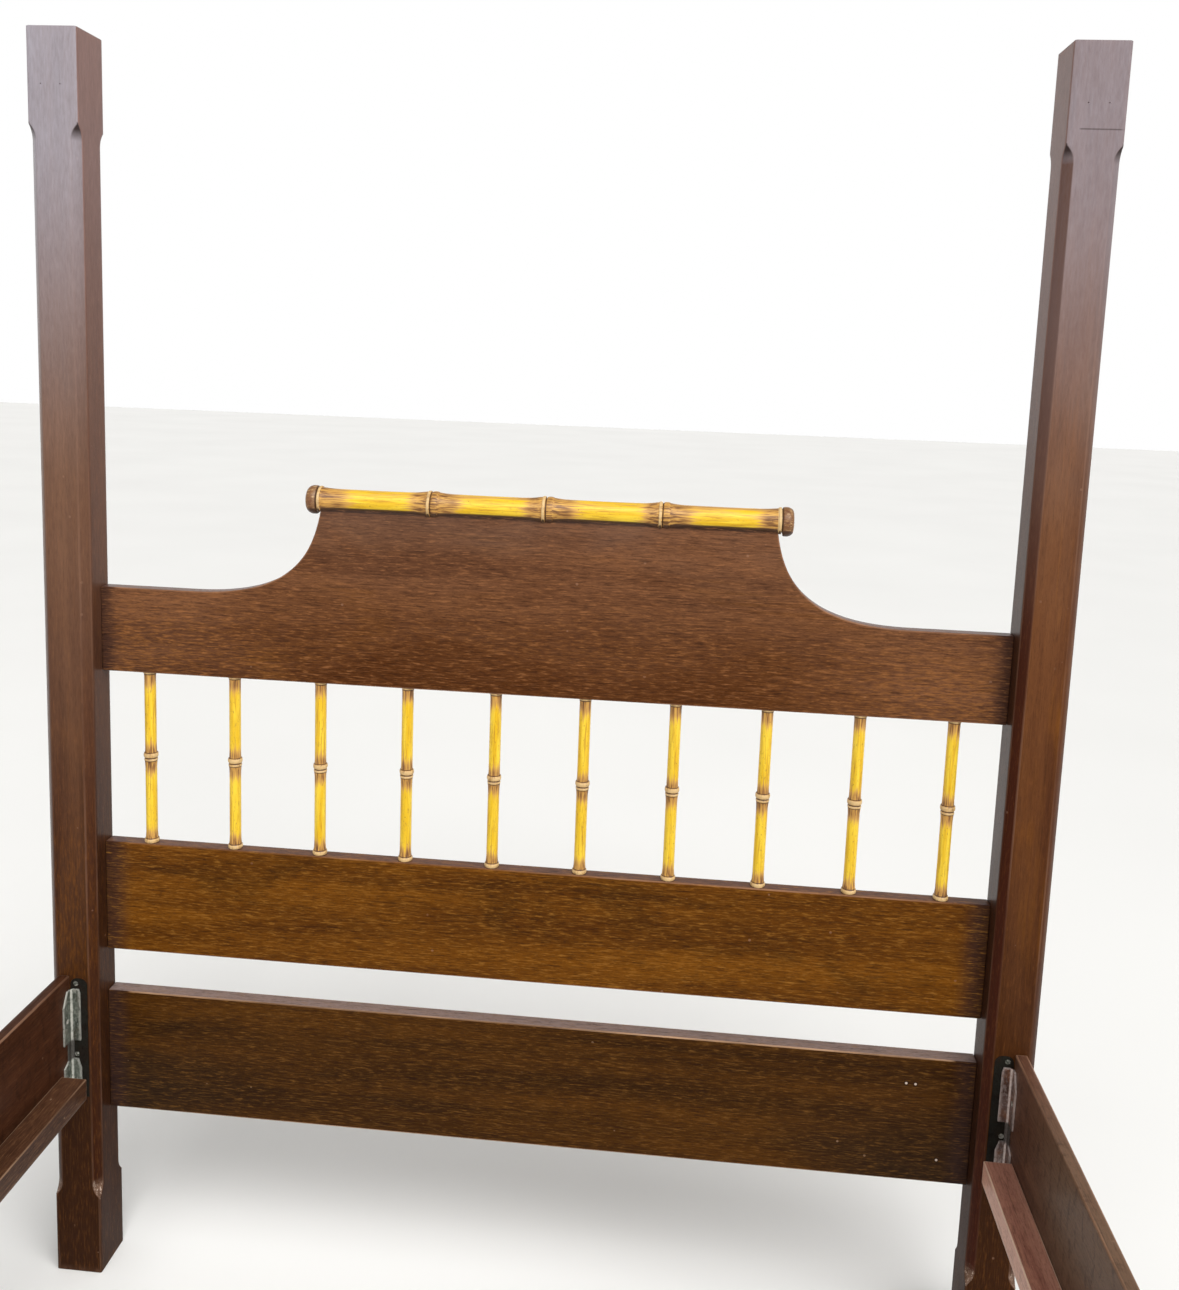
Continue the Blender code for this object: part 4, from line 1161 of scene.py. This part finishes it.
def levelBracket(shape, side, end):
    # sets the folded strip against the post's face and the rail's inner face
    xs = [v.co.x for v in shape.verts]
    ys = [v.co.y for v in shape.verts]
    shift = Vector((bed["gap"] - min(xs), bed["gap"] - min(ys), 0))
    bmesh.ops.translate(shape, vec=shift, verts=shape.verts)
    rounds = [
        e for e in shape.edges
        if e.calc_face_angle(0) > 0.5 and e.calc_length() < bracket["thick"] * 1.3
        and abs(e.verts[0].co.z - e.verts[1].co.z) < 1e-5
    ]
    bmesh.ops.bevel(
        shape, geom=rounds, offset=bracket["corner"], segments=4, profile=0.5, affect="EDGES", material=-1,
        clamp_overlap=True,
    )
    rims = [e for e in shape.edges if e.calc_face_angle(0) > 0.9]
    bmesh.ops.bevel(
        shape, geom=rims, offset=bracket["edge"], segments=2, profile=0.5, affect="EDGES", material=-1,
        clamp_overlap=True,
    )
    bmesh.ops.remove_doubles(shape, verts=shape.verts, dist=2e-5)
    bmesh.ops.dissolve_degenerate(shape, dist=1e-5, edges=shape.edges[:])
    long = [e for e in shape.edges if e.calc_length() > 0.005]
    bmesh.ops.subdivide_edges(shape, edges=long, cuts=5, use_grid_fill=True)
    # marks the bends and rims, which carry the metal's painted highlight
    worn = shape.verts.layers.float.new("edge")
    for v in shape.verts:
        v[worn] = 1.0 if any(e.calc_face_angle(0) > 0.25 for e in v.link_edges) else 0.0
    for v in shape.verts:
        v.co = Vector((side * (bed["railInner"] - v.co.x), end * (bed["postFace"] - v.co.y), v.co.z))
    bmesh.ops.recalc_face_normals(shape, faces=shape.faces)


def buildBracket(sideName, endName):
    side, end = sides[sideName], ends[endName]
    shape = bracketShape()
    levelBracket(shape, side, end)
    node = f"rail_bracket_{endName}_{sideName}"
    piece = makePiece(
        f"railBracket{endName.capitalize()}{sideName.capitalize()}", shape, [node], metals[sideName]
    )
    hooks = bmesh.new()
    face, gap, h = bed["postFace"], bed["gap"], hardware
    middle = side * (bed["railInner"] - h["hookAcross"])
    back = face + h["plateThick"] + 2 * gap
    for z in h["hookLow"]:
        low = middle - h["hookThick"] / 2
        outline = [
            (face - gap - bracket["thick"] / 2, z), (face - gap - bracket["thick"] / 2, z + h["hookNeck"]),
            (back + bracket["thick"], z + h["hookNeck"]), (back + bracket["thick"], z - h["hookDrop"]),
            (back, z - h["hookDrop"]), (back, z),
        ]
        drawFace(hooks, [(low, end * y, height) for y, height in outline], (h["hookThick"], 0, 0))
    carve(piece, hooks, "UNION", 40)
    sinks = bmesh.new()
    for z in h["bracketScrews"]:
        y = end * (face - gap - h["bracketScrewAlong"])
        front = bed["railInner"] - gap - bracket["thick"]
        addRod(sinks, (side * (front - 0.002), y, z), (side * (front + 0.0024), y, z), 0.0064, 20, 0.0022)
        addRod(sinks, (side * (front + 0.002), y, z), (side * (front + 0.006), y, z), 0.0022, 20)
    return carve(piece, sinks, "DIFFERENCE", 40)


screw = dict(
    headRadius=0.0042, headDepth=0.0022, shank=0.0019, root=0.78, tip=0.003, slotWidth=0.0010,
    slotDepth=0.0010, thread=0.001, steps=24,
)


def screwShape(length, dome):
    s = screw
    rounds = [math.pi / 2 * number / 5 for number in range(6)]
    profile = [(s["headRadius"] * math.sin(a), dome * math.cos(a)) for a in rounds]
    profile += [(s["headRadius"], -0.0002), (s["shank"], -s["headDepth"])]
    z = -s["headDepth"] - s["thread"]
    while z > s["tip"] - length:
        profile += [(s["shank"], z), (s["shank"] * s["root"], z - s["thread"] / 2)]
        z -= s["thread"]
    profile += [(s["shank"] * 0.7, s["tip"] - length), (0.0, -length)]
    return turnProfile(profile, s["steps"])


def buildScrew(name, node, length, dome, matrix, spin, body=None):
    shape = screwShape(length, dome)
    piece = makePiece(name, shape, [node] if node else [], metals["screw"], body)
    cutter = bmesh.new()
    half, past = screw["slotWidth"] / 2, hardware["cutterPast"]
    addBlock(cutter, (-past, -half, dome - screw["slotDepth"]), (past, half, past))
    carve(piece, cutter, sharp=45)
    piece.data.transform(matrix @ Matrix.Rotation(spin, 4, "Z"))
    return piece


dice = random.Random(11)
ledgerScrews = dict(places=(-0.9, -0.45, 0.0, 0.45), dome=0.0006, length=0.05)
for sideName, side in sides.items():
    for endName, end in ends.items():
        node = f"post_plate_{endName}_{sideName}"
        plate = frame["nodes"][node]
        plate.data.materials.clear()
        plate.data.materials.append(metals["plate"])
        buildBracket(sideName, endName)
        corner = f"{endName.capitalize()}{sideName.capitalize()}"
        middle = side * (bed["railInner"] - hardware["hookAcross"])
        for number, z in enumerate(hardware["plateScrews"], 1):
            out = Matrix.Translation((middle, end * (bed["postFace"] + 0.0001), z)) @ Matrix.Rotation(
                end * math.pi / 2, 4, "X")
            buildScrew(
                f"plateScrew{corner}{number}", f"plate_screw_{endName}_{sideName}_{number}",
                0.022, 0.0002, out,
                dice.uniform(0, math.pi),
            )
        for number, z in enumerate(hardware["bracketScrews"], 1):
            x = side * (bed["railInner"] - bed["gap"] - bracket["thick"] + 0.0001)
            y = end * (bed["postFace"] - bed["gap"] - hardware["bracketScrewAlong"])
            out = Matrix.Translation((x, y, z)) @ Matrix.Rotation(-side * math.pi / 2, 4, "Y")
            buildScrew(
                f"bracketScrew{corner}{number}", f"bracket_screw_{endName}_{sideName}_{number}",
                0.015, 0.0006,
                out, dice.uniform(0, math.pi),
            )
    ledgerLow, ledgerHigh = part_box(f"ledger_{sideName}")
    faceX = ledgerLow.x if side > 0 else ledgerHigh.x
    for number, y in enumerate(ledgerScrews["places"], 1):
        out = Matrix.Translation((faceX, y, (ledgerLow.z + ledgerHigh.z) / 2)) @ Matrix.Rotation(
            -side * math.pi / 2, 4, "Y")
        buildScrew(
            f"ledgerScrew{sideName.capitalize()}{number}", None, ledgerScrews["length"], ledgerScrews["dome"],
            out, dice.uniform(0, math.pi), f"{sideName}_side_rail",
        )
print("rail fasteners and screws made")


# Studio

studio = dict(
    sky=(0.32, 0.55, 1.0, 0.3), floorSize=60.0, floorLook=dict(pale=(244, 243, 240), drift=(236, 235, 232)),
    sunPower=2.6, sunAngle=50, sunAim=(-0.8, 1.0, -1.3),
    keyPower=60.0, keyPlace=(-0.6, -1.6, 4.0), keyAim=(0, 1.0, 1.7), keySize=(2.5, 1.8),
    camera=(0.2249, -0.7821, 1.6123), yaw=-0.084, pitch=-0.1349, roll=-0.0373,
    focal=1180.0, frameWidth=1179.0, frameHeight=1290.0, centreAcross=589.5, centreDown=524.7,
)


def buildCamera():
    cosYaw, sinYaw = math.cos(studio["yaw"]), math.sin(studio["yaw"])
    cosPitch, sinPitch = math.cos(studio["pitch"]), math.sin(studio["pitch"])
    forward = Vector((sinYaw * cosPitch, cosYaw * cosPitch, sinPitch))
    level = Vector((cosYaw, -sinYaw, 0))
    down = forward.cross(level)
    cosRoll, sinRoll = math.cos(studio["roll"]), math.sin(studio["roll"])
    right = cosRoll * level + sinRoll * down
    drop = -sinRoll * level + cosRoll * down
    lens = bpy.data.cameras.new("camera")
    longSide = max(studio["frameWidth"], studio["frameHeight"])
    lens.sensor_width = 36.0
    lens.lens = 36.0 * studio["focal"] / longSide
    lens.shift_x = (studio["frameWidth"] / 2 - studio["centreAcross"]) / longSide
    lens.shift_y = -(studio["frameHeight"] / 2 - studio["centreDown"]) / longSide
    lens.clip_start = 0.02
    lens.clip_end = 60.0
    camera = bpy.data.objects.new("camera", lens)
    scene.collection.objects.link(camera)
    turn = Matrix((right, -drop, -forward)).transposed()
    camera.matrix_world = Matrix.LocRotScale(studio["camera"], turn.to_quaternion(), None)
    scene.camera = camera


def addLight(lamp, power, aim, place=(0, 0, 0)):
    lamp.energy = power
    light = bpy.data.objects.new(lamp.name, lamp)
    light.location = place
    light.rotation_euler = Vector(aim).to_track_quat("-Z", "Y").to_euler()
    scene.collection.objects.link(light)


def buildStudio():
    world = bpy.data.worlds.new("studio")
    world.use_nodes = True
    nodes, links = world.node_tree.nodes, world.node_tree.links
    height = nodes.new("ShaderNodeSeparateXYZ")
    fall = nodes.new("ShaderNodeMapRange")
    fall.interpolation_type = "SMOOTHSTEP"
    for number, value in enumerate(studio["sky"], 1):
        fall.inputs[number].default_value = value
    links.new(nodes.new("ShaderNodeTexCoord").outputs["Generated"], height.inputs[0])
    links.new(height.outputs[2], fall.inputs[0])
    links.new(fall.outputs[0], nodes["Background"].inputs[1])
    nodes["Background"].inputs[0].default_value = (1.0, 1.0, 1.0, 1.0)
    scene.world = world
    scene.view_settings.view_transform = "Standard"
    scene.view_settings.look = "None"
    shader = Shader("paleFloor", studio["floorLook"])
    shader.lay("pale")
    shader.lay("drift", shader.noise(shader.place(), (1.5, 1.5, 1.5), 2.0))
    shader.finish(Roughness=0.9, Specular_IOR_Level=0.1)
    shape = bmesh.new()
    bmesh.ops.create_grid(shape, x_segments=1, y_segments=1, size=studio["floorSize"] / 2)
    floor = makeObject("floor", shape)
    floor.data.materials.append(shader.material)
    sun = bpy.data.lights.new("sky", "SUN")
    sun.angle = math.radians(studio["sunAngle"])
    addLight(sun, studio["sunPower"], studio["sunAim"])
    key = bpy.data.lights.new("key", "AREA")
    key.shape = "RECTANGLE"
    key.size, key.size_y = studio["keySize"]
    place = Vector(studio["keyPlace"])
    addLight(key, studio["keyPower"], Vector(studio["keyAim"]) - place, place)


buildCamera()
buildStudio()
print("studio ready")
